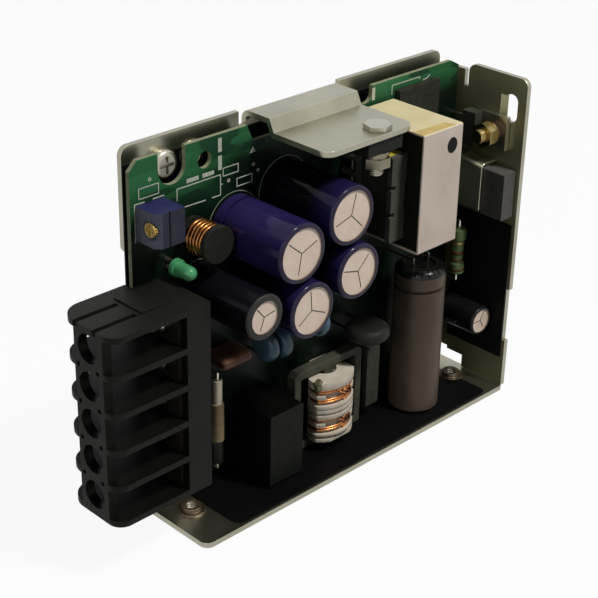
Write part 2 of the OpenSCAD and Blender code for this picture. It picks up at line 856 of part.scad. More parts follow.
module board_outline() {
  difference() {
    translate([-board_out, board_z])
      square([board_right + board_out, board_top - board_z]);
    translate([-board_out, board_top])
      rotate(45)
        square(2.8, center = true);
    translate([board_right, board_top])
      rotate(-28)
        square([8, 2.6], center = true);
    translate([ground_p[0], ground_p[1]])
      circle(notch_r);
    translate([ground_p[0] - notch_r, ground_p[1]])
      square([2 * notch_r, far]);
    polygon([[cut_left - 0.6, far + board_top], [cut_left, board_top], [cut_left + 1.6, board_top - 3.6],
      [cut_right, board_top - 3.6], [cut_right, board_top - 1.6], [cut_right + 2, board_top - 1.6],
      [cut_right + 2, far + board_top]]);
    translate([cut_right, board_top - 1.6])
      circle(2);
    translate(hole_p)
      circle(1.75);
    for (p = [screw_1_at, screw_2_at])
      translate(p)
        circle(screw_r + 0.2);
    for (q = [trim_leads, led_leads, drum_leads, bulk_leads, aux_leads, mains_leads, fuse_leads, therm_leads,
        dip_leads, snub_leads, res_leads, trans_leads, rect_leads, bridge_leads, module_leads, tr_pins,
        choke_pins])
      lead_holes(q);
    for (p = [cap_1_p, cap_2_p, cap_3_p, cap_4_p, cap_5_p])
      lead_holes(pair_x(p, cap_pitch));
    for (p = [disc_1_p, disc_2_p, disc_3_p])
      lead_holes(pair_z(p, 5));
    lead_holes(term_pins, 0.6 + lead_gap);
  }
}

module circuit_board() {
  color("#1d5a38")
    from_left()
      translate([0, -board_gap, 0])
        rotate([90, 0, 0])
          linear_extrude(board_t)
            board_outline();
}

module ground_screw() {
  color("#b9b4a6")
    from_left()
      translate([ground_p[0], 0, ground_p[1]])
        rotate([90, 0, 0]) {
          pan_head(3.0, 2.2);
          translate([0, 0, -sheet_t + 0.1])
            cylinder(r = screw_r, h = sheet_t);
        }
}

module board_screws() {
  color("#b9b4a6")
    for (p = [screw_1_at, screw_2_at])
      on_board(p) {
        pan_head(board_head_r, board_head_h);
        translate([0, 0, -board_t - board_gap - sheet_t / 2])
          cylinder(r = screw_r - 0.1, h = board_t + board_gap + sheet_t / 2 + 0.4);
      }
}

// Terminal block

module rib() {
  linear_extrude(tb_rib)
    difference() {
      union() {
        translate([-tb_out, -tb_front])
          square([tb_out - board_out - 0.3, tb_front - tb_rear]);
        translate([-tb_out + 6, -tb_front])
          square([tb_out - 6 - tb_column_x + 1, tb_front - board_front]);
      }
      translate([-tb_out, -tb_front])
        corner(tb_front_r);
      translate([-tb_out, -tb_rear])
        mirror([0, 1])
          corner(tb_rear_r);
    }
}

module terminal_housing() {
  wall_y = -tb_front + tb_front_r;
  color("#26282a")
    from_left()
      difference() {
        union() {
          for (k = [0:tb_ways])
            translate([0, 0, tb_z + k * tb_pitch])
              rib();
          translate([-tb_out, wall_y, tb_z])
            cube([tb_wall, tb_front - tb_front_r - tb_rear - tb_rear_r, tb_h]);
          translate([-tb_column_x, -tb_front, tb_z])
            cube([tb_column_w, tb_front - board_front, tb_h]);
          translate([-tb_out * 0.44, -tb_front * 0.745, tb_z + tb_h - tb_rib / 2])
            cube([tb_out * 0.206, tb_front * 0.467, tb_rib / 2 + 0.4]);
        }
        for (k = [0:tb_ways - 1])
          translate([0, -tb_hole_y, way_z(k) + tb_lift])
            rotate([0, 90, 0]) {
              translate([0, 0, -tb_out - 1])
                cylinder(d = tb_hole_d, h = tb_wall + 2);
              translate([0, 0, -tb_column_x - 1])
                cylinder(r = screw_r + screw_gap, h = 5.6);
            }
        for (k = [0:tb_ways - 1])
          translate([-tb_column_x - 1, -board_front - strip_t - 0.45, way_z(k) - foot_h / 2 - 0.3])
            cube([foot_l + 0.6, strip_t + 1.45, foot_h + 0.6]);
        for (k = [1:tb_ways - 1], y = [-13.4, -7.6])
          translate([-tb_out - 1, y, tb_z + k * tb_pitch + tb_rib / 2])
            rotate([0, 90, 0])
              cylinder(r = 0.5, h = 2.6, $fn = 16);
        for (y = [0.705, 0.39] * tb_front)
          translate([-tb_out - 1, -y - groove_w / 2, tb_z + tb_h - groove_d])
            cube([tb_out * 0.565, groove_w, 2 * groove_d]);
      }
}

module terminal_plates() {
  strip_h = tb_pitch - tb_rib - 2 * strip_gap;
  color("#c9c3b2")
    for (k = [0:tb_ways - 1]) {
      from_left()
        difference() {
          union() {
            translate([-tb_column_x - strip_t, -tb_front + strip_in, way_z(k) - strip_h / 2])
              cube([strip_t, tb_front - strip_in - board_front - 0.2, strip_h]);
            translate([-tb_column_x - strip_t, -board_front - 0.2 - strip_t, way_z(k) - foot_h / 2])
              cube([foot_l, strip_t, foot_h]);
          }
          translate([-far / 2, -tb_hole_y, way_z(k) + tb_lift])
            rotate([0, 90, 0])
              cylinder(r = screw_r + screw_gap, h = far);
        }
      on_board(term_pins[k])
        lead(0.6, 0.6);
    }
}

module terminal_screws() {
  color("#d6d0c0")
    for (k = [0:tb_ways - 1])
      from_left()
        translate([-tb_column_x - strip_t, -tb_hole_y, way_z(k) + tb_lift])
          rotate([0, -90, 0]) {
            pan_head(term_head_d / 2, term_head_h);
            translate([0, 0, -strip_t - term_screw_l])
              cylinder(r = screw_r, h = strip_t + term_screw_l + 0.2);
          }
}

// Trimmer, lamp and filter choke

module trimmer_body() {
  color("#2f5fb0") {
    on_board(trim_p)
      difference() {
        cube([trim_l, trim_h, trim_d]);
        translate([0, -1, trim_d])
          rotate([0, 45, 0])
            translate([-0.9, 0, -0.9])
              cube([1.8, trim_h + 2, 1.8]);
        translate([2.9, -1, trim_d - 0.4])
          cube([0.4, trim_h + 2, 1]);
        translate([-1, dial_up, dial_out])
          rotate([0, 90, 0]) {
            cylinder(r = dial_r + dial_gap, h = dial_t + dial_gap + 0.8);
            cylinder(r = dial_pin_r + dial_gap, h = dial_t + 3.6);
          }
      }
    leads(trim_leads, 0.5);
  }
}

module trimmer_dial() {
  color("#e0b52c")
    on_board(trim_p)
      translate([-0.2, dial_up, dial_out])
        rotate([0, 90, 0])
          difference() {
            union() {
              cylinder(r = dial_r, h = dial_t);
              cylinder(r = dial_pin_r, h = dial_t + 2.2);
            }
            rotate([180, 0, 0])
              recess(dial_r * 1.5, 0.5);
          }
}

module power_led() {
  color("#2f9a57") {
    on_board(led_p)
      translate([0, 0, led_stand]) {
        cylinder(r = led_r + 0.35, h = 1);
        cylinder(r = led_r, h = led_l - led_r);
        translate([0, 0, led_l - led_r])
          sphere(led_r);
      }
    leads(led_leads, led_stand + 0.4);
  }
}

module filter_choke_core() {
  color("#3a3a3c") {
    on_board(drum_p)
      rotate_extrude() {
        square([drum_r - 0.4, 1.2]);
        square([drum_neck_r, drum_l]);
        translate([0, drum_l - 1.3])
          square([drum_r - 0.3, 1.3]);
        translate([0, drum_l - 1])
          square([drum_r, 0.7]);
        translate([drum_r - 0.3, drum_l - 0.3])
          circle(0.3, $fn = 24);
        translate([drum_r - 0.3, drum_l - 1])
          circle(0.3, $fn = 24);
      }
    leads(drum_leads, 0.6);
  }
}

module filter_choke_winding() {
  turns = floor((drum_l - 2.7) / drum_wire);
  color("#b5622c")
    on_board(drum_p)
      rotate_extrude() {
        translate([drum_neck_r + 0.1, 1.3])
          square([drum_coil_r - drum_wire / 2 - drum_neck_r - 0.1, turns * drum_wire]);
        for (i = [0:turns - 1])
          translate([drum_coil_r - drum_wire / 2, 1.3 + (i + 0.5) * drum_wire])
            circle(drum_wire / 2, $fn = 24);
      }
}

// Capacitors

// a sleeved can standing on the board, with a vent pressed into its end disc
module can(r, l, rim, turn) {
  difference() {
    rotate_extrude() {
      translate([0, 0.1])
        square([r - 0.6, l - 0.4]);
      translate([0, 0.4])
        square([r, 2.2]);
      translate([0, 3.4])
        square([r, l - 4]);
      translate([0, l - 0.7])
        square([r - 0.6, 0.7]);
      translate([r - 0.6, l - 0.6])
        circle(0.6, $fn = 32);
    }
    translate([0, 0, l - 0.35])
      cylinder(r = r - rim, h = 2);
    for (a = [0, 120, 240])
      rotate(turn + a)
        translate([-0.1, -0.12, l - 0.55])
          cube([(r - rim) * 0.86, 0.24, 2]);
  }
}

module output_can(p, r, rim, turn) {
  color("#4a4470") {
    on_board(p)
      can(r, out_cap_l, rim, turn);
    leads(pair_x(p, cap_pitch), 0.6);
  }
}

module output_capacitor_1() {
  output_can(cap_1_p, cap_big_r, cap_rim, 20);
}

module output_capacitor_2() {
  output_can(cap_2_p, cap_big_r, cap_rim, 75);
}

module output_capacitor_3() {
  output_can(cap_3_p, cap_mid_r, cap_rim, 45);
}

module output_capacitor_4() {
  output_can(cap_4_p, cap_mid_r, cap_rim, 95);
}

module output_capacitor_5() {
  output_can(cap_5_p, cap_small_r, cap_rim * 1.4, 10);
}

module bulk_capacitor() {
  color("#5a4a42") {
    upright(bulk_at, bulk_z)
      difference() {
        rotate_extrude() {
          square([bulk_r - 0.6, bulk_l - 0.8]);
          translate([0, 0.6])
            square([bulk_r, bulk_l - 6.2]);
          translate([bulk_r - 0.6, 0.6])
            circle(0.6, $fn = 32);
          translate([0, bulk_l - 4.6])
            square([bulk_r, 4.6 - bulk_crimp]);
          translate([bulk_r - bulk_crimp, bulk_l - bulk_crimp])
            circle(bulk_crimp, $fn = 48);
          square([bulk_r - bulk_crimp, bulk_l]);
        }
        translate([0, 0, bulk_l - 0.5])
          cylinder(r = bulk_r - bulk_crimp - 0.6, h = 2);
        for (a = [0:15:345])
          rotate(a)
            translate([bulk_r - 1.5, -0.13, bulk_l - 1.1])
              cube([2, 0.26, 2]);
      }
    for (p = bulk_leads) {
      upright([p[0], bulk_at[1]], bulk_z + bulk_l - 1)
        cylinder(r = lead_r, h = 2.4, $fn = 20);
      upright([p[0], bulk_at[1]], bulk_lead_z)
        sphere(lead_r, $fn = 20);
      on_board(p)
        lead(bulk_at[1]);
    }
  }
}

module auxiliary_capacitor() {
  color("#232326") {
    on_board(aux_at)
      can(aux_r, aux_l, 0.6, 60);
    leads(aux_leads, 0.6);
  }
}

module mains_capacitor() {
  color("#33383a") {
    on_board(mains_at)
      linear_extrude(mains_size[2])
        round_rect(mains_size[0], mains_size[1], 0.5);
    leads(mains_leads, 0.6);
  }
}

module snubber_capacitor() {
  color("#6a6a70") {
    on_board([right_x - 0.3 - snub_w, snub_z])
      translate([0, 0, 0.4])
        linear_extrude(snub_d - 0.4)
          round_rect(snub_w, snub_h, 0.4);
    leads(snub_leads, 0.9);
  }
}

// the angle strip that lies over the snubber capacitor
module snubber_clip() {
  clip_x = right_x - 0.3 - snub_w - 0.2 - clip_t;
  clip_l = 7.4;
  clip_r = 0.7;
  clip_top = snub_z + snub_h + 0.4;
  color("#9c9a86")
    from_left()
      translate([0, -14.3, 0]) {
        translate([clip_x, 0, snub_z + 1])
          cube([clip_t, clip_l, clip_top - clip_r - snub_z - 1]);
        translate([clip_x + clip_t + clip_r, clip_l, clip_top - clip_r])
          mirror([1, 0, 0])
            rotate([90, 0, 0])
              fold(clip_r, clip_t, clip_l);
        translate([clip_x + clip_t + clip_r, 0, clip_top])
          cube([right_x - 0.05 - clip_x - clip_t - clip_r, clip_l, clip_t]);
      }
}

module bypass_disc(p) {
  color("#2e63b8") {
    on_board(p)
      translate([0, 0, disc_r + 1.5])
        rotate([0, 90, 0])
          coated_disc(disc_r, disc_t);
    leads(pair_z(p, 5), 3.2);
  }
}

module bypass_capacitor_1() {
  bypass_disc(disc_1_p);
}

module bypass_capacitor_2() {
  bypass_disc(disc_2_p);
}

module bypass_capacitor_3() {
  bypass_disc(disc_3_p);
}

module dipped_capacitor() {
  color("#7c3a22") {
    on_board(dip_p)
      translate([-dip_size[0] / 2, 0, 0.8]) {
        translate([dip_r, -dip_r, 0])
          cube([dip_size[0] - dip_size[1], dip_size[1], dip_d - dip_r]);
        for (x = [dip_r, dip_size[0] - dip_r])
          translate([x, 0, 0]) {
            cylinder(r = dip_r, h = dip_d - dip_r);
            translate([0, 0, dip_d - dip_r])
              sphere(dip_r);
          }
        translate([dip_r, 0, dip_d - dip_r])
          rotate([0, 90, 0])
            cylinder(r = dip_r, h = dip_size[0] - dip_size[1]);
      }
    leads(dip_leads, 1.4);
  }
}

// Transformer

// a box between the given corners, in the frame at the base's left edge
module box(a, b) {
  translate(a)
    cube(b - a);
}

module transformer_core() {
  rear = -board_front - tr_stand;
  front = rear - tr_d;
  color("#1b1b1c")
    from_left()
      difference() {
        box([tr_x, front, tr_z], [tr_x + tr_w, rear, tr_z + tr_h]);
        box([tr_x - 1, front + tr_end, window_low],
          [tr_x + tr_w + 1, rear - tr_end, core_mid[1] - leg_half]);
        box([tr_x - 1, front + tr_end, core_mid[1] + leg_half],
          [tr_x + tr_w + 1, rear - tr_end, window_high]);
      }
}

module transformer_bobbin() {
  rear = -board_front - tr_stand - tr_end - tr_gap;
  front = rear - tr_d + 2 * (tr_end + tr_gap);
  low = window_low + tr_gap;
  high = window_high - tr_gap;
  color("#4b4f4c") {
    from_left()
      difference() {
        union() {
          box([tr_x - former_out, front, low], [tr_x + tr_w + former_out, front + flange_t, high]);
          box([tr_x - former_out, rear - flange_t, low], [tr_x + tr_w + former_out, rear, high]);
          box([tr_x - tr_gap - 0.8, front, core_mid[1] - leg_half - tr_gap - 0.8],
            [tr_x + tr_w + tr_gap + 0.8, rear, core_mid[1] + leg_half + tr_gap + 0.8]);
        }
        box([tr_x - tr_gap, front - 1, core_mid[1] - leg_half - tr_gap],
          [tr_x + tr_w + tr_gap, rear + 1, core_mid[1] + leg_half + tr_gap]);
        for (x = [tr_x - former_out - 1, tr_x + tr_w + former_out - 1.2], z = [0.3, 0.62])
          translate([x, front - 1, low + (high - low) * z])
            cube([2.2, flange_t + 2, 1]);
      }
    for (p = tr_pins)
      on_board(p) {
        cylinder(r = 0.7, h = -board_front - rear + 0.1, $fn = 20);
        lead(1);
      }
  }
}

module transformer_winding() {
  rear = -board_front - tr_stand - tr_end - flange_t - 2 * tr_gap;
  front = -board_front - tr_stand - tr_d + tr_end + flange_t + 2 * tr_gap;
  low = window_low + 0.3;
  high = window_high - 0.3;
  color("#b9a53c")
    from_left()
      difference() {
        box([tr_x - former_out + 0.6, front, low], [tr_x + tr_w + former_out - 0.6, rear, high]);
        box([tr_x - 2 * tr_gap - 0.8, front - 1, core_mid[1] - leg_half - 2 * tr_gap - 0.8],
          [tr_x + tr_w + 2 * tr_gap + 0.8, rear + 1, core_mid[1] + leg_half + 2 * tr_gap + 0.8]);
      }
}

module transformer_wrap() {
  rear = -board_front - tr_stand;
  skin = wrap_t + 0.05;
  color("#d8cfbd")
    from_left()
      translate([tr_x - 0.3, rear - tr_d - skin, tr_z - skin])
        rotate([90, 0, 90])
          linear_extrude(tr_w + 0.6)
            difference() {
              round_rect(tr_d + 2 * skin, tr_h + 2 * skin, 0.3);
              translate([wrap_t, wrap_t])
                square([tr_d + 0.1, tr_h + 0.1]);
            }
}

// Line choke

module line_choke_core() {
  y = -board_front - choke_at[1];
  x = choke_at[0];
  color("#62645e")
    from_left() {
      difference() {
        box([x - frame_w / 2, y - frame_d / 2, frame_z],
          [x + frame_w / 2, y + frame_d / 2, frame_z + frame_h]);
        box([x - frame_w / 2 + frame_t, y - far, frame_z + frame_t],
          [x + frame_w / 2 - frame_t, y + far, frame_z + frame_h - frame_t]);
        for (s = [-1, 1])
          translate([x + s * frame_w / 2, y, frame_z + frame_h])
            rotate([0, 45, 0])
              cube([1.6, far, 1.6], center = true);
      }
      box([x - choke_leg, y - frame_d / 2, frame_z + 1],
        [x + choke_leg, y + frame_d / 2, frame_z + frame_h - 1]);
    }
}

// outline of the former, drawn in by the given amount
module choke_outline(inset) {
  intersection() {
    translate([choke_left + inset, -board_front - choke_front + inset])
      round_rect(choke_w - 2 * inset, choke_d - 2 * inset, choke_r - inset);
    translate([choke_left + choke_w / 2, -board_front - choke_front + choke_bow])
      circle(choke_bow - inset);
  }
  translate([choke_at[0], -board_front - choke_at[1]])
    circle(choke_hub_r - inset);
}

// the wire's way past a divider, at the front, drawn in by the given amount
module divider_gap(inset) {
  translate([choke_left + divider_l + inset, -board_front - choke_front - 1])
    square([divider_gap_l - 2 * inset, choke_d / 2 + 1 - inset]);
}

choke_left = choke_at[0] - choke_shift - choke_w / 2;
// the heights below are drawn for a former 15.1 high
choke_k = choke_h / 15.1;
// full flanges above the former's lower end, as [start, thickness]
flanges = choke_k * [[0, 0.8], [1.45, 0.65], [5.85, 1.05], [7.3, 0.95], [8.45, 0.85], [13.35, 1.75]];
// dividers inside the coils, as [start, thickness]
dividers = choke_k * [[3.8, 0.95], [10.98, 0.82]];
// coils, as [start, height]
coils = choke_k * [[2.15, 3.65], [9.35, 3.95]];
// how far the dividers reach from the former's left side
divider_l = choke_w * 0.15;
// width of the wire's way
divider_gap_l = choke_w * 0.65;

module line_choke_bobbin() {
  color("#d9d4c6") {
    from_left()
      translate([0, 0, choke_z])
        difference() {
          union() {
            linear_extrude(choke_h)
              choke_outline(choke_wind);
            translate([0, 0, flanges[0][0]])
              linear_extrude(flanges[0][1])
                difference() {
                  choke_outline(0);
                  translate([choke_left - 1, -board_front - choke_front + choke_flat - far])
                    square([choke_w + 2, far]);
                }
            for (i = [1:5])
              translate([0, 0, flanges[i][0]])
                linear_extrude(flanges[i][1])
                  choke_outline(0);
            for (q = dividers)
              translate([0, 0, q[0]])
                linear_extrude(q[1])
                  difference() {
                    choke_outline(0.1);
                    divider_gap(0);
                  }
            for (i = [1, 5])
              translate([choke_at[0] - 0.5, -board_front - choke_at[1] + choke_hub_r - 1, flanges[i][0]])
                cube([choke_foot_w, choke_at[1] - choke_hub_r + 1, flanges[i][1]]);
          }
          translate([choke_at[0], -board_front - choke_at[1], choke_h / 2])
            cube([2 * choke_leg + 0.2, frame_d + 0.2, 2 * far], center = true);
          translate([choke_at[0], -board_front - choke_at[1] + 0.4, choke_h - choke_notch_d])
            cylinder(r = choke_notch_r, h = 2 * choke_notch_d);
        }
    leads(choke_pins, 0.8);
  }
}

module line_choke_windings() {
  color("#b4652f")
    from_left()
      translate([0, 0, choke_z])
        difference() {
          for (q = coils)
            translate([0, 0, q[0]])
              linear_extrude(q[1])
                difference() {
                  choke_outline(choke_lip);
                  choke_outline(choke_wind - 0.05);
                }
          for (q = dividers)
            translate([0, 0, q[0] - 0.05])
              linear_extrude(q[1] + 0.1)
                difference() {
                  choke_outline(-1);
                  divider_gap(0.05);
                }
        }
}

// Fuse and small parts

module fuse() {
  color("#c9a877") {
    upright(fuse_at, fuse_z)
      rotate_extrude() {
        square([fuse_end_r, fuse_l]);
        square([fuse_r - 0.15, sleeve_z]);
        translate([0, sleeve_z])
          square([fuse_r, sleeve_l]);
      }
    upright(fuse_at, fuse_leads[0][1])
      cylinder(r = lead_r, h = fuse_leads[1][1] - fuse_leads[0][1], $fn = 20);
    for (p = fuse_leads) {
      upright(fuse_at, p[1])
        sphere(lead_r, $fn = 20);
      on_board(p)
        lead(fuse_at[1]);
    }
  }
}

module inrush_thermistor() {
  color("#3b403c") {
    on_board(therm_p)
      translate([0, 0, therm_r + 3])
        rotate([90, 0, 0])
          coated_disc(therm_r, therm_t);
    leads(therm_leads, 5);
  }
}

module snubber_resistor() {
  color("#3f7d45") {
    upright(res_at, res_z)
      rotate_extrude() {
        square([res_r - 0.35, res_l]);
        for (z = [0, res_l - 3])
          translate([0, z + 0.5])
            square([res_r, 2]);
        for (z = [0.5, 2.5, res_l - 2.5, res_l - 0.5])
          translate([res_r - 0.5, z])
            circle(0.5, $fn = 24);
      }
    upright(res_at, res_leads[0][1])
      cylinder(r = lead_r, h = res_leads[1][1] - res_leads[0][1], $fn = 20);
    for (p = res_leads) {
      upright(res_at, p[1])
        sphere(lead_r, $fn = 20);
      on_board(p)
        lead(res_at[1]);
    }
  }
}

module bridge_rectifier() {
  color("#4d4f50") {
    on_board(bridge_at)
      linear_extrude(bridge_size[2])
        round_rect(bridge_size[0], bridge_size[1], 0.4);
    leads(bridge_leads, 0.6);
  }
}

module control_module() {
  color("#3a3b36") {
    on_board(module_p)
      linear_extrude(module_size[2])
        round_rect(module_size[0], module_size[1], 0.3);
    leads(module_leads, 0.6);
  }
}

// Power devices

module power_transistor() {
  tab_end = trans_rear + trans_l;
  color("#242526") {
    from_left()
      difference() {
        union() {
          box([dev_x, -trans_rear - trans_body, trans_z - trans_w / 2],
            [dev_x + dev_t, -trans_rear, trans_z + trans_w / 2]);
          box([dev_x + dev_t - dev_tab_t, -tab_end, trans_z - trans_w / 2],
            [dev_x + dev_t, -trans_rear - 1, trans_z + trans_w / 2]);
        }
        translate([dev_x, -trans_screw_y, trans_z])
          rotate([0, 90, 0])
            cylinder(r = bolt_r + screw_gap, h = far);
      }
    for (p = trans_leads)
      on_board(p)
        lead(trans_rear - board_front + 0.6);
  }
}

// a frame on the transistor's screw axis, pointing into the supply from the tab's face
module on_screw() {
  from_left()
    translate([dev_x + dev_t - dev_tab_t, -trans_screw_y, trans_z])
      rotate([0, -90, 0])
        children();
}

module transistor_screw() {
  color("#b79a55")
    on_screw()
      translate([0, 0, -dev_tab_t - 0.15 - sheet_t + 0.1])
        cylinder(r = bolt_r, h = dev_tab_t + 0.05 + sheet_t + 6.2);
}

module transistor_bush() {
  color("#6d5335")
    on_screw()
      ring(1.95, bolt_r + 0.08, 1.8);
}

module transistor_washer() {
  color("#c8b784")
    on_screw()
      translate([0, 0, 1.8])
        ring(washer_r, bolt_r + screw_gap, washer_t);
}

module transistor_nut() {
  color("#bda45f")
    on_screw()
      translate([0, 0, 1.8 + washer_t])
        hex(nut_af, nut_t, bolt_r + 0.05);
}

module output_rectifier() {
  color("#2a2b2c") {
    from_left()
      difference() {
        box([rect_x - rect_w / 2, -rect_front, tab_under - dev_t],
          [rect_x + rect_w / 2, -rect_front + rect_l, tab_under]);
        box([rect_x - far, -rect_front - 1, tab_under - far],
          [rect_x + far, -bolt_y + max(washer_r, nut_reach) + 0.3, tab_under - dev_t + 1]);
        translate([rect_x, -bolt_y, tab_under - far])
          cylinder(r = bolt_r + screw_gap, h = far * 2);
      }
    leads(rect_leads, rect_front - rect_l - board_front + 0.6);
  }
}

// a frame on the rectifier's bolt, pointing down from the package
module under_rectifier() {
  from_left()
    translate([rect_x, -bolt_y, tab_under - dev_t + 1])
      rotate([180, 0, 0])
        children();
}

module rectifier_bolt() {
  color("#bcb7a8")
    from_left()
      translate([rect_x, -bolt_y, tab_top]) {
        rotate(15)
          cylinder(d = nut_af / cos(30), h = bolt_head_h, $fn = 6);
        translate([0, 0, -bolt_l])
          cylinder(r = bolt_r, h = bolt_l + 0.2);
      }
}

module rectifier_washers() {
  color("#c9c4b4")
    under_rectifier() {
      ring(washer_r, bolt_r + screw_gap, washer_t);
      translate([0, 0, washer_t + 0.03])
        ring(washer_r - 0.4, bolt_r + screw_gap, washer_t + 0.17);
    }
}

module rectifier_nut() {
  color("#c2a96a")
    under_rectifier()
      translate([0, 0, 2 * washer_t + 0.2])
        hex(nut_af, nut_t, bolt_r + 0.05);
}

chassis();
insulating_sheet();
side_insulator();
circuit_board();
ground_screw();
board_screws();
terminal_housing();
terminal_plates();
terminal_screws();
trimmer_body();
trimmer_dial();
power_led();
filter_choke_core();
filter_choke_winding();
output_capacitor_1();
output_capacitor_2();
output_capacitor_3();
output_capacitor_4();
output_capacitor_5();
bulk_capacitor();
auxiliary_capacitor();
transformer_core();
transformer_bobbin();
transformer_winding();
transformer_wrap();
line_choke_core();
line_choke_bobbin();
line_choke_windings();
mains_capacitor();
fuse();
bypass_capacitor_1();
bypass_capacitor_2();
bypass_capacitor_3();
inrush_thermistor();
dipped_capacitor();
snubber_capacitor();
snubber_clip();
snubber_resistor();
power_transistor();
transistor_screw();
transistor_bush();
transistor_washer();
transistor_nut();
output_rectifier();
rectifier_bolt();
rectifier_washers();
rectifier_nut();
bridge_rectifier();
control_module();
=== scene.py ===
"""Looks for the open-frame power supply.

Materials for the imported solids, small dressed pieces, light and camera.
"""

import math
import random

import bmesh
import bpy
from mathutils import Matrix, Vector, noise

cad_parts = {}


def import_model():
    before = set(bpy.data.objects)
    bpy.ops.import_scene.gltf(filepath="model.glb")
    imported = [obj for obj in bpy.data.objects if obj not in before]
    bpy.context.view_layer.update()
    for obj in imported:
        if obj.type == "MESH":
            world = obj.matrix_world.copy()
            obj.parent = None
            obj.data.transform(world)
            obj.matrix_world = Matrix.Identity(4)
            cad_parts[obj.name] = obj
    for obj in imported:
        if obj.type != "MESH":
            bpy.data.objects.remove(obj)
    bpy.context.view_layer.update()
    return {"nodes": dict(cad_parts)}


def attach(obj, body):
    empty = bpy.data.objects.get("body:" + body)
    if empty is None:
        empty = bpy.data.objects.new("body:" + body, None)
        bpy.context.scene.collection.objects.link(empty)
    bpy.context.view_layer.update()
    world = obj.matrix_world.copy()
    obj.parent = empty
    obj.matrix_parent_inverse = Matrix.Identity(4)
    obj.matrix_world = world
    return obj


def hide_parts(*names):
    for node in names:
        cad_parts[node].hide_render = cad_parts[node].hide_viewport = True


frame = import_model()
nodes = frame["nodes"]

MM = 0.001
X, Y, Z = 0, 1, 2
BODY = "supply"
# The base's left edge and the back plate's front face in the row frame, in mm
LEFT_X, BACK_Y = -48.1, 10.05
# The board's front face, from the back plate
BOARD_Y = -3.6
# How far print stands out from what it is on
PRINT_LIFT = 0.03
# A face looks one way where its normal has more than this share that way
FACING = 0.6


def at(x, y, z):
    """A point in metres, given in mm from the base's left edge, the back plate's front and the underside."""
    return Vector((x + LEFT_X, y + BACK_Y, z)) * MM


def srgb(r, g, b):
    """A linear colour from 8-bit sRGB."""
    def one(c):
        c /= 255
        return c / 12.92 if c <= 0.04045 else ((c + 0.055) / 1.055) ** 2.4
    return (one(r), one(g), one(b), 1.0)


def angles(steps):
    """Even angles once round."""
    return [2 * math.pi * k / steps for k in range(steps)]


# Materials

class Look:
    """A procedural material: a Principled shader with object-space detail."""

    def __init__(self, name, metal=0.0, gloss=0.5, **sockets):
        self.mat = bpy.data.materials.new(name)
        self.mat.use_nodes = True
        self.tree = self.mat.node_tree
        self.shader = self.tree.nodes["Principled BSDF"]
        self.shader.inputs["Metallic"].default_value = metal
        self.shader.inputs["Specular IOR Level"].default_value = gloss
        for key, value in sockets.items():
            self.shader.inputs[key.replace("_", " ")].default_value = value
        self.coords = self.tree.nodes.new("ShaderNodeTexCoord").outputs["Object"]

    def link(self, out, socket):
        self.tree.links.new(out, socket)

    def stretched(self, stretch):
        """Object coordinates squeezed along the axes, for grain that runs one way."""
        node = self.tree.nodes.new("ShaderNodeMapping")
        node.inputs["Scale"].default_value = stretch
        self.link(self.coords, node.inputs["Vector"])
        return node.outputs["Vector"]

    def noise(self, scale, detail=3.0, rough=0.55, stretch=None):
        """Noise with features of about 1/scale metres."""
        node = self.tree.nodes.new("ShaderNodeTexNoise")
        node.inputs["Scale"].default_value = scale
        node.inputs["Detail"].default_value = detail
        node.inputs["Roughness"].default_value = rough
        self.link(self.stretched(stretch) if stretch else self.coords, node.inputs["Vector"])
        return node.outputs["Fac"]

    def ramp(self, fac, low, high, low_colour, high_colour):
        """A colour that goes from one to another between two values of a factor."""
        node = self.tree.nodes.new("ShaderNodeValToRGB")
        for element, place, colour in zip(node.color_ramp.elements, (low, high), (low_colour, high_colour)):
            element.position = place
            element.color = colour
        self.link(fac, node.inputs["Fac"])
        return node.outputs["Color"]

    def cloud(self, fac, dark, light):
        """A tone that drifts between two 8-bit colours."""
        return self.ramp(fac, 0.3, 0.7, srgb(*dark), srgb(*light))

    def patches(self, fac, low, high):
        """Black and white fields with a narrow border."""
        return self.ramp(fac, low, high, (0, 0, 0, 1), (1, 1, 1, 1))

    def blend(self, fac, low, high):
        """One of two colours or colour outputs by a factor."""
        node = self.tree.nodes.new("ShaderNodeMix")
        node.data_type = "RGBA"
        self.link(fac, node.inputs["Factor"])
        for socket, value in ((node.inputs[6], low), (node.inputs[7], high)):
            if isinstance(value, tuple):
                socket.default_value = value
            else:
                self.link(value, socket)
        return node.outputs[2]

    def span(self, fac, low, high):
        """A factor from 0 to 1 spread over another range."""
        node = self.tree.nodes.new("ShaderNodeMapRange")
        node.inputs["To Min"].default_value = low
        node.inputs["To Max"].default_value = high
        self.link(fac, node.inputs["Value"])
        return node.outputs["Result"]

    def along(self, axis, start, end):
        """0 to 1 between two places along an axis of the row frame, in metres."""
        parts = self.tree.nodes.new("ShaderNodeSeparateXYZ")
        self.link(self.coords, parts.inputs[0])
        node = self.tree.nodes.new("ShaderNodeMapRange")
        node.inputs["From Min"].default_value = start
        node.inputs["From Max"].default_value = end
        self.link(parts.outputs[axis], node.inputs["Value"])
        return node.outputs["Result"]

    def faded(self, tone, axis, start, end, far_tone):
        """A tone that turns to another between two places along an axis."""
        return self.blend(self.along(axis, start, end), tone, srgb(*far_tone))

    def colour(self, out):
        self.link(out, self.shader.inputs["Base Color"])

    def roughness(self, out):
        self.link(out, self.shader.inputs["Roughness"])

    def bump(self, height, strength, depth):
        node = self.tree.nodes.new("ShaderNodeBump")
        node.inputs["Strength"].default_value = strength
        node.inputs["Distance"].default_value = depth
        self.link(height, node.inputs["Height"])
        self.link(node.outputs["Normal"], self.shader.inputs["Normal"])


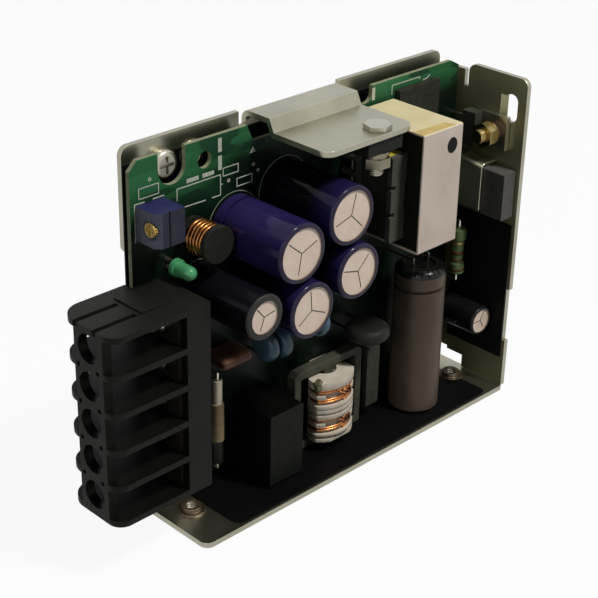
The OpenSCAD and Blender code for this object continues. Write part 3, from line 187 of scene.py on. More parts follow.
def mottled(name, dark, light, rough, scale, grain, depth=0.00002, stretch=None, fade=None, **sockets):
    """A surface whose colour drifts between two tones, with a fine grain in its gloss and relief."""
    look = Look(name, **sockets)
    tone = look.cloud(look.noise(scale, stretch=stretch), dark, light)
    # The optional fade paints light and shade into the tone along an axis.
    look.colour(look.faded(tone, *fade) if fade else tone)
    look.roughness(look.span(look.noise(scale * 1.7), *rough))
    look.bump(look.noise(grain, 4.0), 0.3, depth)
    return look.mat


def steel(name, dark, light, rough=(0.26, 0.42), fade=None):
    """Plated sheet: cloudy tone, fine rolling lines along the sheet and a soft satin gloss."""
    look = Look(name, metal=1.0)
    cloud = look.noise(70, 5.0, 0.6)
    lines = look.noise(900, 3.0, 0.6, stretch=(0.06, 1.0, 1.0))
    tone = look.cloud(cloud, dark, light)
    # The optional fade paints light and shade into the tone along an axis.
    if fade:
        tone = look.faded(tone, *fade)
    look.colour(look.blend(look.span(lines, 0.0, 0.22), tone, srgb(*dark)))
    look.roughness(look.span(cloud, *rough))
    look.bump(lines, 0.12, 0.00001)
    return look.mat


def solder_mask(name, ground, field, track, shade):
    """Green mask over laminate, paler over copper; painted shade turns it dark low down, at the left only
    lower.
    """
    look = Look(name, gloss=0.12)
    wide = look.patches(look.noise(110, 1.0, 0.3, stretch=(1.0, 1.0, 0.7)), 0.47, 0.5)
    runs = look.patches(look.noise(240, 0.0, 0.0, stretch=(0.25, 1.0, 1.6)), 0.53, 0.55)
    mask = look.blend(runs, look.blend(wide, srgb(*ground), srgb(*field)), srgb(*track))
    # Painted shade: the mask turns dark below a height, which is lower at the left.
    left = look.faded(mask, Z, 0.076, 0.065, shade)
    rest = look.faded(mask, Z, 0.0795, 0.0735, shade)
    look.colour(look.blend(look.along(X, at(14, 0, 0).x, at(24, 0, 0).x), left, rest))
    look.roughness(look.span(look.noise(900), 0.3, 0.45))
    look.bump(runs, 0.25, 0.00003)
    return look.mat


def enamelled(name, dark, light):
    """Enamelled wire: bare metal under a clear amber skin."""
    look = Look(name, metal=1.0, Coat_Weight=0.15, Coat_Roughness=0.12)
    look.colour(look.cloud(look.noise(700), dark, light))
    look.roughness(look.span(look.noise(2500), 0.2, 0.36))
    look.bump(look.noise(5000), 0.15, 0.00001)
    return look.mat


LOOKS = {}


def add(maker, name, *values, **more):
    """Makes a material and keeps it under its name."""
    LOOKS[name] = maker(name, *values, **more)


add(steel, "plated_steel", (145, 143, 126), (170, 167, 150))
# The right plate's inner face: painted shade, with a painted reflection lightening it towards the front
# edge.
add(steel, "side_steel", (132, 130, 100), (154, 150, 120), (0.42, 0.56),
    fade=(Y, -0.012, -0.0216, (224, 212, 160)))
# A lighter steel for the chassis's bevelled edges: a painted highlight.
add(steel, "cut_steel", (190, 184, 166), (212, 206, 190), (0.22, 0.34))
add(steel, "screw_steel", (186, 181, 168), (214, 210, 198), (0.18, 0.3))
add(steel, "bolt_steel", (160, 157, 144), (182, 178, 164), (0.24, 0.36))
add(steel, "collar_steel", (92, 78, 62), (118, 102, 82), (0.36, 0.5))
# The nut and washers are silver, painted darker and browner: a painted reflection.
add(steel, "nut_steel", (112, 106, 90), (140, 134, 116), (0.24, 0.36))
# The terminal plates, painted near black: the painted shade of the block's bays.
add(steel, "terminal_metal", (36, 34, 28), (52, 49, 41), (0.4, 0.55))
add(steel, "clip_steel", (190, 186, 160), (212, 208, 186))
add(steel, "device_tab", (172, 168, 158), (198, 194, 184))
add(steel, "hardware_brass", (158, 140, 92), (188, 172, 126), (0.18, 0.3))
add(steel, "lead_tin", (180, 176, 164), (208, 204, 194), (0.2, 0.32))
add(steel, "pin_dark", (72, 70, 62), (96, 93, 84), (0.3, 0.42))
add(enamelled, "copper_wire", (106, 64, 28), (148, 102, 52))
add(enamelled, "copper_dark", (146, 88, 46), (194, 132, 80))
# The board's last colour is the painted shade of its lower and right parts.
add(solder_mask, "solder_mask", (28, 69, 45), (43, 100, 62), (49, 111, 69), (9, 22, 14))
add(mottled, "board_edge", (120, 128, 100), (150, 156, 128), (0.6, 0.75), 900, 5000, gloss=0.2)
add(mottled, "film", (7, 7, 8), (11, 11, 12), (0.4, 0.55), 60, 400, 0.00006, gloss=0.08)
add(mottled, "film_side", (15, 16, 15), (21, 22, 21), (0.4, 0.55), 60, 400, 0.00006, gloss=0.08)
add(mottled, "block_black", (23, 24, 20), (29, 30, 26), (0.42, 0.55), 120, 5200, 0.00003, gloss=0.08)
# The same black plastic, darker inside the bays: painted shade.
add(mottled, "bay_black", (11, 11, 9), (15, 15, 13), (0.36, 0.5), 120, 5200, 0.00003, gloss=0.06)
# One blue plastic split by face into lit and shaded copies: greyer sides, a deeper blue top, and a pale face
# under the dial, the last a painted sheen.
add(mottled, "trimmer_blue", (44, 47, 58), (54, 56, 70), (0.36, 0.48), 500, 4200, gloss=0.12)
add(mottled, "trimmer_face", (82, 87, 102), (94, 99, 114), (0.36, 0.48), 500, 4200, gloss=0.12)
add(mottled, "trimmer_top", (36, 38, 80), (46, 48, 92), (0.36, 0.48), 500, 4200, gloss=0.12)
add(mottled, "dial_yellow", (204, 174, 96), (222, 194, 112), (0.4, 0.5), 600, 4000, gloss=0.2)
add(mottled, "ink_black", (12, 12, 13), (18, 18, 19), (0.5, 0.6), 900, 6000, gloss=0.08)
add(mottled, "ink_white", (178, 184, 172), (204, 208, 196), (0.55, 0.7), 1500, 6000, gloss=0.15)
# White print in shade: the same ink as the white print, painted darker.
add(mottled, "ink_grey", (120, 132, 116), (146, 156, 140), (0.55, 0.7), 1500, 6000, gloss=0.15)
add(mottled, "lamp_green", (66, 142, 94), (78, 160, 110), (0.2, 0.3), 300, 3000, 0.00001, gloss=0.2,
    Subsurface_Weight=0.15, Coat_Weight=0.2)
add(mottled, "ferrite", (30, 31, 27), (40, 41, 36), (0.5, 0.66), 700, 3600, 0.00004, gloss=0.08)
add(mottled, "frame_ferrite", (62, 62, 54), (80, 80, 70), (0.5, 0.62), 600, 3600, 0.00003, gloss=0.12)
add(mottled, "bridge_grey", (50, 51, 46), (64, 65, 58), (0.5, 0.62), 600, 3600, 0.00003, gloss=0.12)
add(mottled, "core_black", (20, 22, 14), (27, 29, 20), (0.4, 0.55), 500, 3600, 0.00003, gloss=0.07)
add(mottled, "sleeve_indigo", (35, 28, 72), (45, 37, 88), (0.09, 0.15), 160, 1300, gloss=0.12)
# Capacitors 2 to 4: the sleeve fades to near black towards the board, a painted shade.
add(mottled, "sleeve_shade", (31, 25, 63), (40, 33, 78), (0.09, 0.15), 160, 1300, gloss=0.12,
    fade=(Y, -0.0125, -0.0065, (10, 8, 18)))
# The sleeve where it rolls over the can's front edge, a greyer and lighter copy of the sleeve: painted
# sheen.
add(mottled, "sleeve_rim", (40, 33, 58), (50, 42, 70), (0.1, 0.18), 500, 2600, gloss=0.14)
add(mottled, "sleeve_grey", (44, 44, 43), (54, 54, 52), (0.4, 0.52), 500, 2600, 0.00003, gloss=0.15)
add(mottled, "sleeve_night", (13, 12, 18), (18, 17, 24), (0.2, 0.3), 160, 1300, 0.00003, gloss=0.12)
add(mottled, "sleeve_black", (16, 16, 18), (24, 24, 27), (0.22, 0.34), 300, 1800, gloss=0.15)
add(mottled, "sleeve_brown", (80, 69, 60), (95, 82, 72), (0.34, 0.46), 130, 1500, 0.00003,
    stretch=(1.0, 1.0, 0.35), gloss=0.15)
add(mottled, "crimp_black", (12, 12, 12), (20, 19, 19), (0.16, 0.28), 500, 1200, 0.0001, gloss=0.25)
add(mottled, "can_end", (226, 206, 190), (238, 220, 206), (0.42, 0.55), 300, 5200, metal=0.15)
# The vent's grooves, darker than the end disc: painted shade in the grooves.
add(mottled, "vent_line", (84, 76, 68), (112, 102, 92), (0.5, 0.6), 900, 4000, metal=0.3)
add(mottled, "former_grey", (74, 77, 69), (86, 89, 81), (0.5, 0.62), 300, 4200, 0.00003, gloss=0.1)
add(mottled, "former_white", (192, 184, 168), (212, 204, 190), (0.38, 0.5), 300, 3800)
add(mottled, "winding_tape", (186, 172, 66), (210, 196, 84), (0.3, 0.42), 200, 900, 0.00003, gloss=0.2)
# The winding's yellow tape on its sides, painted dark as shade.
add(mottled, "winding_side", (52, 54, 48), (66, 67, 58), (0.4, 0.52), 200, 900, 0.00003, gloss=0.1)
add(mottled, "wrap_white", (206, 192, 180), (222, 209, 198), (0.5, 0.62), 110, 2400, 0.00003)
add(mottled, "wrap_cream", (212, 199, 152), (225, 214, 174), (0.5, 0.62), 110, 2400, 0.00003)
add(mottled, "tape_yellow", (186, 158, 74), (202, 176, 92), (0.35, 0.45), 300, 1800)
# The mains capacitor's black box: painted shade on top and sides, a lighter copy in front.
add(mottled, "box_dark", (7, 8, 7), (11, 12, 10), (0.4, 0.52), 300, 4200, 0.00003, gloss=0.05)
add(mottled, "box_front", (20, 23, 20), (27, 30, 26), (0.4, 0.52), 300, 4200, 0.00003, gloss=0.05)
add(mottled, "box_grey", (78, 77, 75), (92, 91, 88), (0.4, 0.52), 300, 3600, 0.00003, gloss=0.12)
add(mottled, "fuse_white", (244, 232, 208), (252, 244, 226), (0.3, 0.42), 500, 3600)
add(mottled, "fuse_body", (136, 120, 92), (158, 142, 110), (0.45, 0.56), 500, 3600, gloss=0.2)
add(mottled, "fuse_cap", (24, 24, 20), (36, 35, 30), (0.2, 0.32), 500, 3600, metal=0.05, gloss=0.1)
add(mottled, "disc_blue", (62, 92, 112), (82, 114, 132), (0.24, 0.36), 300, 1600, 0.00005, gloss=0.3)
add(mottled, "coating_grey", (30, 32, 28), (40, 42, 38), (0.45, 0.58), 400, 1500, 0.00006, gloss=0.12)
add(mottled, "coating_dark", (98, 68, 55), (114, 80, 65), (0.3, 0.42), 300, 1500, 0.00005, gloss=0.2)
# The dipped capacitor's coating, lighter on top as painted light.
add(mottled, "coating_brown", (168, 118, 94), (186, 136, 110), (0.3, 0.42), 300, 1500, 0.00005, gloss=0.25)
add(mottled, "resistor_green", (104, 130, 84), (120, 146, 98), (0.34, 0.46), 400, 1800, 0.00004, gloss=0.25)
add(mottled, "band_brown", (92, 62, 42), (112, 78, 54), (0.4, 0.5), 900, 3000, gloss=0.2)
add(mottled, "band_gold", (150, 134, 74), (172, 154, 92), (0.35, 0.45), 900, 3000, metal=0.3)
add(mottled, "device_black", (30, 32, 27), (40, 42, 36), (0.42, 0.55), 400, 4200, 0.00003, gloss=0.08)
add(mottled, "device_dark", (54, 56, 49), (66, 68, 60), (0.42, 0.55), 400, 4200, 0.00003, gloss=0.08)
add(mottled, "bush_brown", (92, 72, 48), (112, 90, 62), (0.4, 0.5), 500, 3000, gloss=0.2)
add(mottled, "resin", (84, 82, 58), (112, 108, 78), (0.25, 0.4), 500, 1500, 0.00006, Coat_Weight=0.2)
add(mottled, "module_dark", (36, 38, 33), (52, 53, 46), (0.4, 0.55), 700, 2200, 0.00006, gloss=0.1)


def dress(node, *names, rule=None, edge=None, edge_look=-1):
    """Gives a node its materials, and breaks its edges by a width in mm.

    The rule picks a material's number from a face's middle and normal.
    """
    mesh = nodes[node].data
    mesh.materials.clear()
    for name in names:
        mesh.materials.append(LOOKS[name])
    for face in mesh.polygons:
        face.material_index = rule(face.center, face.normal) if rule else 0
    if edge:
        soften(nodes[node], edge * MM, edge_look)


def soften(thing, width, edge_look):
    """Breaks sharp edges, so that they catch the light as real ones do."""
    weld = thing.modifiers.new("weld", "WELD")
    weld.merge_threshold = 0.000002
    flat = thing.modifiers.new("flat", "DECIMATE")
    flat.decimate_type = "DISSOLVE"
    flat.angle_limit = math.radians(0.4)
    flat.delimit = {"MATERIAL"}
    bevel = thing.modifiers.new("bevel", "BEVEL")
    bevel.width = width
    bevel.segments = 2
    bevel.limit_method = "ANGLE"
    bevel.angle_limit = math.radians(35)
    bevel.harden_normals = True
    # The bevel's faces can take a material of their own; on the chassis a lighter steel paints a highlight
    # along the edges.
    bevel.material = edge_look


# Mesh tools

def piece(name, bm, look, smooth=True):
    """Turns mesh code into an object that rides on the supply, with its material by name."""
    bmesh.ops.recalc_face_normals(bm, faces=bm.faces)
    mesh = bpy.data.meshes.new(name)
    bm.to_mesh(mesh)
    bm.free()
    for face in mesh.polygons:
        face.use_smooth = smooth
    mesh.materials.append(LOOKS[look])
    thing = bpy.data.objects.new(name, mesh)
    bpy.context.scene.collection.objects.link(thing)
    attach(thing, BODY)
    return thing


def bridge(bm, low, high):
    """Faces between two closed rings of points."""
    for k in range(len(low)):
        j = (k + 1) % len(low)
        bm.faces.new((low[k], low[j], high[j], high[k]))


def slab(bm, corners, out):
    """A thin slab with its face on the given corners, standing out by a vector."""
    low = [bm.verts.new(c) for c in corners]
    high = [bm.verts.new(c + out) for c in corners]
    bm.faces.new(high)
    bm.faces.new(low[::-1])
    bridge(bm, low, high)


def ribbon(bm, points, width, place, out):
    """A printed line of even width along points in a plane; place puts a plane point into space."""
    points = [Vector(p) for p in points]
    sides = []
    for i, p in enumerate(points):
        before = (p - points[i - 1]).normalized() if i else None
        after = (points[i + 1] - p).normalized() if i + 1 < len(points) else None
        run = ((before or after) + (after or before)).normalized()
        across = Vector((-run.y, run.x))
        turn = max(0.5, across.dot(Vector((-(after or before).y, (after or before).x))))
        sides.append((p + across * width / 2 / turn, p - across * width / 2 / turn))
    for (a, b), (c, d) in zip(sides, sides[1:]):
        slab(bm, [place(a), place(b), place(d), place(c)], out)


def arc(middle, radius, start, end, steps=40):
    """Points along a circle, by degrees."""
    turns = [math.radians(start + (end - start) * i / steps) for i in range(steps + 1)]
    return [(middle[0] + radius * math.cos(a), middle[1] + radius * math.sin(a)) for a in turns]


def tube(bm, points, radius, sides=8):
    """A round wire along points."""
    rings = []
    side = None
    for i, p in enumerate(points):
        run = (points[min(i + 1, len(points) - 1)] - points[max(i - 1, 0)]).normalized()
        if side is None:
            side = run.orthogonal().normalized()
        side = (side - run * side.dot(run)).normalized()
        other = run.cross(side)
        rings.append([bm.verts.new(p + (side * math.cos(a) + other * math.sin(a)) * radius)
                      for a in angles(sides)])
    for low, high in zip(rings, rings[1:]):
        bridge(bm, low, high)
    bm.faces.new(rings[0][::-1])
    bm.faces.new(rings[-1])


def lathe(bm, profile, place, sides=48):
    """A closed ring turned about an axis; the profile is [radius, along], and place maps a local point."""
    rings = [[bm.verts.new(place(Vector((r * math.cos(a), r * math.sin(a), h)))) for a in angles(sides)]
             for r, h in profile]
    for low, high in zip(rings, rings[1:] + rings[:1]):
        bridge(bm, low, high)


# Cans that lie along Y: middle over the board, radius and width of the rim, front, looks of sleeve and rim

CANS = {
    "output_capacitor_1": ((23.6, 60.2), 6.4, 1.0, BOARD_Y - 20, "sleeve_indigo", "sleeve_rim"),
    "output_capacitor_2": ((37.4, 64.2), 6.4, 1.0, BOARD_Y - 20, "sleeve_shade", "sleeve_rim"),
    "output_capacitor_3": ((40.0, 51.0), 6.1, 1.0, BOARD_Y - 20, "sleeve_shade", "sleeve_rim"),
    "output_capacitor_4": ((26.8, 46.6), 6.1, 1.0, BOARD_Y - 20, "sleeve_shade", "sleeve_rim"),
    "output_capacitor_5": ((13.7, 49.7), 4.9, 1.4, BOARD_Y - 20, "sleeve_night", "sleeve_grey"),
    "auxiliary_capacitor": ((90.6, 19.0), 3.6, 0.6, BOARD_Y - 13.6, "sleeve_black", "sleeve_black"),
}
# Depths behind a can's front: the end disc, the bottom of the vent's grooves, and the rolled rim
DISC_AT, GROOVE_AT, RIM_AT = 0.36, 0.62, 0.75
# Heights on the bulk capacitor: the foot and the top of its crimped end
CRIMP_FOOT, CRIMP_TOP = 36.45, 38.4
# Heights on the fuse: ends of the lower wire, the dark cap, the sleeve and the white end
FUSE_WIRE, FUSE_CAP, FUSE_SLEEVE, FUSE_END = 8.78, 14.25, 23.15, 28.62
# How far the lamp's lens and the transformer's former keep from the board, before their leads
LENS_GAP, FORMER_GAP = 2.55, 0.2
# The dipped capacitor's top is a lighter brown, painted light; its upper edge is round, so more of it counts
# as top
DIPPED_FACING = 0.55

# The two threaded collars that stand on the base
COLLARS = (at(6.15, -9.5, 0), at(90.05, -9.5, 0))
COLLAR_REACH, COLLAR_LOW, COLLAR_HIGH = 3.1, 1.25, 4.8


# Dressed pieces

def board_print():
    """The board's printed outlines: frames, bars and circles without any lettering."""
    def line(points, width):
        ribbon(bm, points, width, place, out)

    def place(p):
        return at(p[0], BOARD_Y, p[1])

    out = Vector((0, -PRINT_LIFT, 0)) * MM
    fine, dot, thin, hook, bar, post, strip = 0.2, 0.22, 0.24, 0.3, 0.85, 0.9, 0.95
    bm = bmesh.new()
    line([(0.7, 71.45), (-1.75, 71.5), (-1.75, 63.6)], thin)
    line([(2.7, 71.5), (5.55, 71.5)], thin)
    line([(16.1, 67.4), (10.4, 67.5)], thin)
    line([(17.7, 67.4), (20.0, 67.4), (20.0, 71.75), (8.75, 71.75), (8.75, 69.3)], thin)
    line([(20.0, 69.6), (20.6, 69.6)], thin)
    boxes = ((-0.65, 72.3, 4.2, 74.4), (20.7, 71.2, 24.75, 72.9), (24.4, 68.0, 28.5, 69.7))
    for left, low, right, high in boxes:
        line([(left, low), (right, low), (right, high), (left, high), (left, low - 0.12)], fine)
    for left, right in ((11.2, 14.3), (15.3, 18.3)):
        line([(left, 72.75), (right, 72.75)], bar)
    for low, high in ((76.6, 79.5), (72.8, 75.8)):
        line([(19.9, low), (19.9, high)], strip)
    slab(bm, [place(p) for p in ((27.9, 74.2), (29.6, 74.2), (28.75, 75.5))], out)
    line([(69.9, 76.8), (69.9, 78.85), (78.9, 78.85), (78.9, 78.3)], thin)
    line([(64.0, 76.9), (64.0, 79.7)], post)
    line([(80.0, 77.9), (81.3, 78.0), (82.3, 78.6)], hook)
    for spot in ((22.2, 69.9), (28.9, 71.6), (30.2, 70.0), (2.1, 75.7)):
        line(arc(spot, 0.28, 0, 360, 16), dot)
    piece("board_print", bm, "ink_white", smooth=False)
    # The rings round three capacitors are the same white print, painted darker as shade.
    bm = bmesh.new()
    rings = (("output_capacitor_1", 6.9, 20, 200), ("output_capacitor_2", 6.9, 30, 210),
             ("output_capacitor_5", 5.4, 40, 150))
    for can, radius, start, end in rings:
        line(arc(CANS[can][0], radius, start, end), fine)
    piece("capacitor_rings", bm, "ink_grey", smooth=False)


def dial_marks():
    """The ring of ticks round the trimmer's dial."""
    middle, face_x = Vector((-7.8, 67.6)), -1.5
    ticks, left_out = 20, (9, 10)
    inner, outer, width, lift = 1.72, 2.15, 0.28, 0.02
    bm = bmesh.new()
    for k in range(ticks):
        if k not in left_out:
            a = math.radians(360 / ticks * k - 90)
            run = Vector((math.cos(a), math.sin(a)))
            ribbon(bm, [middle + run * inner, middle + run * outer], width,
                   lambda p: at(face_x, p[0], p[1]), Vector((-lift, 0, 0)) * MM)
    piece("dial_marks", bm, "ink_black", smooth=False)


def transformer_marks():
    """The tape's end along the wrap's top front edge, and the round mark on its front."""
    left, right, front, top = 57.2, 67.6, -24.4, 76.3
    tape = ((left, 0.3), (right, 0.3), (right - 1.3, 2.7), (left, 3.1))
    bm = bmesh.new()
    slab(bm, [at(x, front + back, top) for x, back in tape], Vector((0, 0, PRINT_LIFT)) * MM)
    piece("tape_end", bm, "tape_yellow", smooth=False)
    dot_x, dot_z, half_w, half_h = 66.2, 72.1, 1.55, 1.75
    bm = bmesh.new()
    ring = [at(dot_x + half_w * math.cos(a), front, dot_z + half_h * math.sin(a)) for a in angles(40)]
    slab(bm, ring[::-1], Vector((0, -PRINT_LIFT, 0)) * MM)
    piece("wrap_dot", bm, "ink_black", smooth=False)


def resistor_bands():
    """Colour bands painted round the resistor's body, each with its radius, start and end."""
    x, y, low = 89.2, -9.6, 29.6
    sunk, lift = 0.05, 0.02
    bands = (("a", "band_gold", 1.4, 7.4, 8.4), ("b", "band_brown", 1.4, 5.0, 6.0),
             ("c", "band_brown", 1.4, 3.3, 3.9), ("d", "band_brown", 1.75, 0.9, 1.6))
    for name, look, r, start, end in bands:
        bm = bmesh.new()
        lathe(bm, [(r - sunk, start), (r + lift, start), (r + lift, end), (r - sunk, end)],
              lambda p: at(x + p.x, y + p.y, low + p.z))
        piece("resistor_band_" + name, bm, look)


def drum_turns():
    """The drum choke's wire, wound by hand: two layers of touching turns that wander a little."""
    x, z = 12.2, 61.6
    radius, low, high, wire = 2.2, 1.3, 7.0, 0.94
    steps, slack = 22, 0.12
    drift = random.Random(5)
    bm = bmesh.new()
    for layer in range(2):
        turns = int((high - low) / wire) - layer
        ring = radius + wire * (0.5 + 0.86 * layer)
        start = low + wire * (0.5 + 0.5 * layer)
        points = []
        for k in range(turns * steps + 1):
            a = 2 * math.pi * k / steps
            if k % (steps // 2) == 0:
                sway = [drift.uniform(-slack, slack) for _ in range(2)]
            h = min(high - wire / 2, start + wire * k / steps + sway[0] * 0.5 * wire)
            r = ring + abs(sway[1]) * wire * 0.5
            points.append(at(x + r * math.cos(a), BOARD_Y - h, z + r * math.sin(a)))
        for _ in range(2):
            eased = [(a + b * 2 + c) / 4 for a, b, c in zip(points, points[1:], points[2:])]
            points = [points[0]] + eased + [points[-1]]
        tube(bm, points, wire / 2 * MM)
    thing = piece("filter_choke_wire", bm, "copper_wire")
    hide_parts("filter_choke_winding")


def choke_loop(inset):
    """One turn round the line choke's former, drawn in from its edge: points over the floor plan."""
    left, right, front, back = 40.3 + inset, 52.1 - inset, -14.7 + inset, -7.5 - inset
    r = 3.2 - inset
    bow, bow_at = 8.0 - inset, Vector((46.2, -6.7))
    hub, hub_at = 3.7 - inset, Vector((46.8, -8.2))
    middle, reach = Vector((46.2, -10.2)), 12.0

    def inside(p):
        if (p - hub_at).length <= hub:
            return True
        corner = Vector((min(max(p.x, left + r), right - r), min(max(p.y, front + r), back - r)))
        return (p - corner).length <= r and (p - bow_at).length <= bow
    points = []
    for a in angles(72):
        run = Vector((math.cos(a), math.sin(a)))
        near, far = 0.0, reach
        for _ in range(24):
            mid = (near + far) / 2
            near, far = (mid, far) if inside(middle + run * mid) else (near, mid)
        points.append(middle + run * near)
    return points


def choke_turns():
    """The line choke's wire: helical turns between the flanges, with strands crossing each divider's gap."""
    wire, below_edge = 0.5, 0.4
    seam, strand_span = 56, 7
    plan = choke_loop(below_edge + wire / 2)
    bm = bmesh.new()

    def run(first, steps, low, high):
        points = [plan[(first + k) % len(plan)] for k in range(steps + 1)]
        tube(bm, [at(p.x, p.y, low + (high - low) * k / steps) for k, p in enumerate(points)], wire / 2 * MM)
    for low, high in ((6.35, 8.0), (8.95, 10.0), (13.55, 15.18), (16.0, 17.5)):
        turns = max(1, int((high - low - wire) / wire))
        run(seam, turns * len(plan), low + wire / 2, high - wire / 2)
    for low, high in ((7.7, 9.2), (14.9, 16.25)):
        for first in (seam - 4, seam, seam + 4):
            run(first, strand_span, high, low)
    thing = piece("line_choke_wire", bm, "copper_dark")
    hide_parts("line_choke_windings")


def thread(name, look, base, along, radius, length, rise=0.16):
    """A screw thread standing a little proud of a shank or, with a negative rise, into a hole."""
    pitch, steps, run_out, sunk = 0.5, 24, 8, 0.02
    half = along * pitch * 0.42 * MM
    foot = radius - math.copysign(sunk, rise)
    last = length / pitch * steps
    side = along.orthogonal().normalized()
    other = along.cross(side)
    bm = bmesh.new()
    rows = []
    for k in range(int(last) + 1):
        a = 2 * math.pi * k / steps
        run = side * math.cos(a) + other * math.sin(a)
        middle = base + along * (pitch * k / steps) * MM
        crest = radius + rise * min(1.0, k / run_out, (last - k) / run_out)
        rows.append([bm.verts.new(p) for p in (middle + run * foot * MM - half, middle + run * crest * MM,
                                               middle + run * foot * MM + half)])
    for low, high in zip(rows, rows[1:]):
        bridge(bm, low, high)
    bm.faces.new(rows[0])
    bm.faces.new(rows[-1][::-1])
    piece(name, bm, look)


def resin_drop():
    """A drop of set resin on the line choke's former."""
    middle, size, shift = at(41.1, -11.9, 18.5), (1.2, 1.1, 1.5), Vector((3, 0, 0))
    bm = bmesh.new()
    bmesh.ops.create_icosphere(bm, subdivisions=4, radius=1.0)
    for v in bm.verts:
        swell = 1 + 0.22 * noise.noise(v.co * 1.6 + shift) + 0.06 * noise.noise(v.co * 5)
        v.co = middle + Vector((v.co.x * size[0], v.co.y * size[1], v.co.z * size[2])) * swell * MM
    piece("choke_resin", bm, "resin")


# Rules that pick a material from a face's middle and normal

def can_rule(middle, radius, rim, front):
    """Sleeve, end disc, vent and rim of a can that lies along Y; the vent's grooves are painted shade, and
    on capacitors 1 to 4 the rim is a painted sheen.
    """
    axis = at(middle[0], front, middle[1])
    end_radius = radius - rim + 0.02

    def rule(c, n):
        r = math.hypot(c.x - axis.x, c.z - axis.z) / MM
        deep = (c.y - axis.y) / MM
        if r < end_radius and deep < GROOVE_AT:
            return 2 if deep > DISC_AT or abs(n.y) < 0.5 else 1
        return 3 if deep < RIM_AT and n.y < -0.35 else 0
    return rule


def chassis_rule(c, n):
    """The right plate's inner face takes a darker steel, a painted shade that turns lighter towards its
    front edge as a painted reflection; the two base collars are darker.
    """
    plate_x = 93
    if c.x > at(plate_x, 0, 0).x and n.x < -0.7:
        return 2
    near = min(math.hypot(c.x - spot.x, c.y - spot.y) for spot in COLLARS)
    return 3 if near < COLLAR_REACH * MM and COLLAR_LOW * MM < c.z < COLLAR_HIGH * MM else 0


def block_rule(c, n):
    """The inner faces of the block's bays take a darker black: painted shade."""
    left, right, top = -17.3, -1.3, 54
    in_bay = abs(n.x) > FACING and at(left, 0, 0).x < c.x < at(right, 0, 0).x
    return 1 if c.z < top * MM and (abs(n.z) > FACING or in_bay) else 0


def trimmer_rule(c, n):
    """Top, dial's face and the rest: one plastic in tones by face, painted light and sheen."""
    return 1 if n.z > FACING else 2 if n.x < -FACING else 0


def resistor_rule(c, n):
    """Wire past the body's ends and where it turns to the board."""
    low, high, back = 29.55, 41.25, -6.6
    return 1 if c.z > high * MM or c.z < low * MM or c.y > at(0, back, 0).y else 0


def transistor_rule(c, n):
    """Leads, tab against the plate, and body."""
    leads_y, tab_x = -6.95, 93.52
    return 2 if c.y > at(0, leads_y, 0).y else 1 if c.x > at(tab_x, 0, 0).x else 0


def edge_rule(c, n):
    """The board's cut edges and holes."""
    return 1 if abs(n.y) < 0.5 else 0


def top_rule(share):
    """Faces that look up."""
    return lambda c, n: 1 if n.z > share else 0


def front_rule(c, n):
    """Faces that look to the front."""
    return 1 if n.y < -FACING else 0


def lead_rule(y):
    """What lies behind a plane across Y."""
    return lambda c, n: 1 if c.y > at(0, y, 0).y else 0


def height_rule(*bands):
    """Materials by height: each band is its upper limit in mm and its material's number."""
    return lambda c, n: next(number for limit, number in bands if c.z < limit * MM)


# Floor, light and camera

def seen(tree):
    """1 for what the camera sees, straight, mirrored or through a clear surface, and 0 for other light."""
    path = tree.nodes.new("ShaderNodeLightPath")
    fac = path.outputs["Is Camera Ray"]
    for ray in ("Is Glossy Ray", "Is Transmission Ray"):
        most = tree.nodes.new("ShaderNodeMath")
        most.operation = "MAXIMUM"
        tree.links.new(fac, most.inputs[0])
        tree.links.new(path.outputs[ray], most.inputs[1])
        fac = most.outputs[0]
    return fac


def floor(size=6.0, drop=0.0003, glow_share=0.93, seen_tone=0.9, other_tone=0.2):
    """A white floor that keeps the object's shadow and throws little light back."""
    bm = bmesh.new()
    bmesh.ops.create_grid(bm, x_segments=1, y_segments=1, size=size)
    mesh = bpy.data.meshes.new("floor")
    bm.to_mesh(mesh)
    bm.free()
    thing = bpy.data.objects.new("floor", mesh)
    thing.location.z = -drop
    bpy.context.scene.collection.objects.link(thing)
    mat = bpy.data.materials.new("floor_white")
    mat.use_nodes = True
    tree = mat.node_tree
    tree.nodes.clear()
    fac = seen(tree)
    share = tree.nodes.new("ShaderNodeMath")
    share.operation = "MULTIPLY"
    share.inputs[1].default_value = glow_share
    tint = tree.nodes.new("ShaderNodeMix")
    tint.data_type = "RGBA"
    tint.inputs[6].default_value = (other_tone, other_tone, other_tone, 1)
    tint.inputs[7].default_value = (seen_tone, seen_tone, seen_tone, 1)
    matt = tree.nodes.new("ShaderNodeBsdfDiffuse")
    glow = tree.nodes.new("ShaderNodeEmission")
    glow.inputs["Strength"].default_value = 1.0
    mix = tree.nodes.new("ShaderNodeMixShader")
    out = tree.nodes.new("ShaderNodeOutputMaterial")
    tree.links.new(fac, share.inputs[0])
    tree.links.new(fac, tint.inputs["Factor"])
    tree.links.new(tint.outputs[2], matt.inputs["Color"])
    tree.links.new(share.outputs[0], mix.inputs[0])
    tree.links.new(matt.outputs[0], mix.inputs[1])
    tree.links.new(glow.outputs[0], mix.inputs[2])
    tree.links.new(mix.outputs[0], out.inputs["Surface"])
    mesh.materials.append(mat)


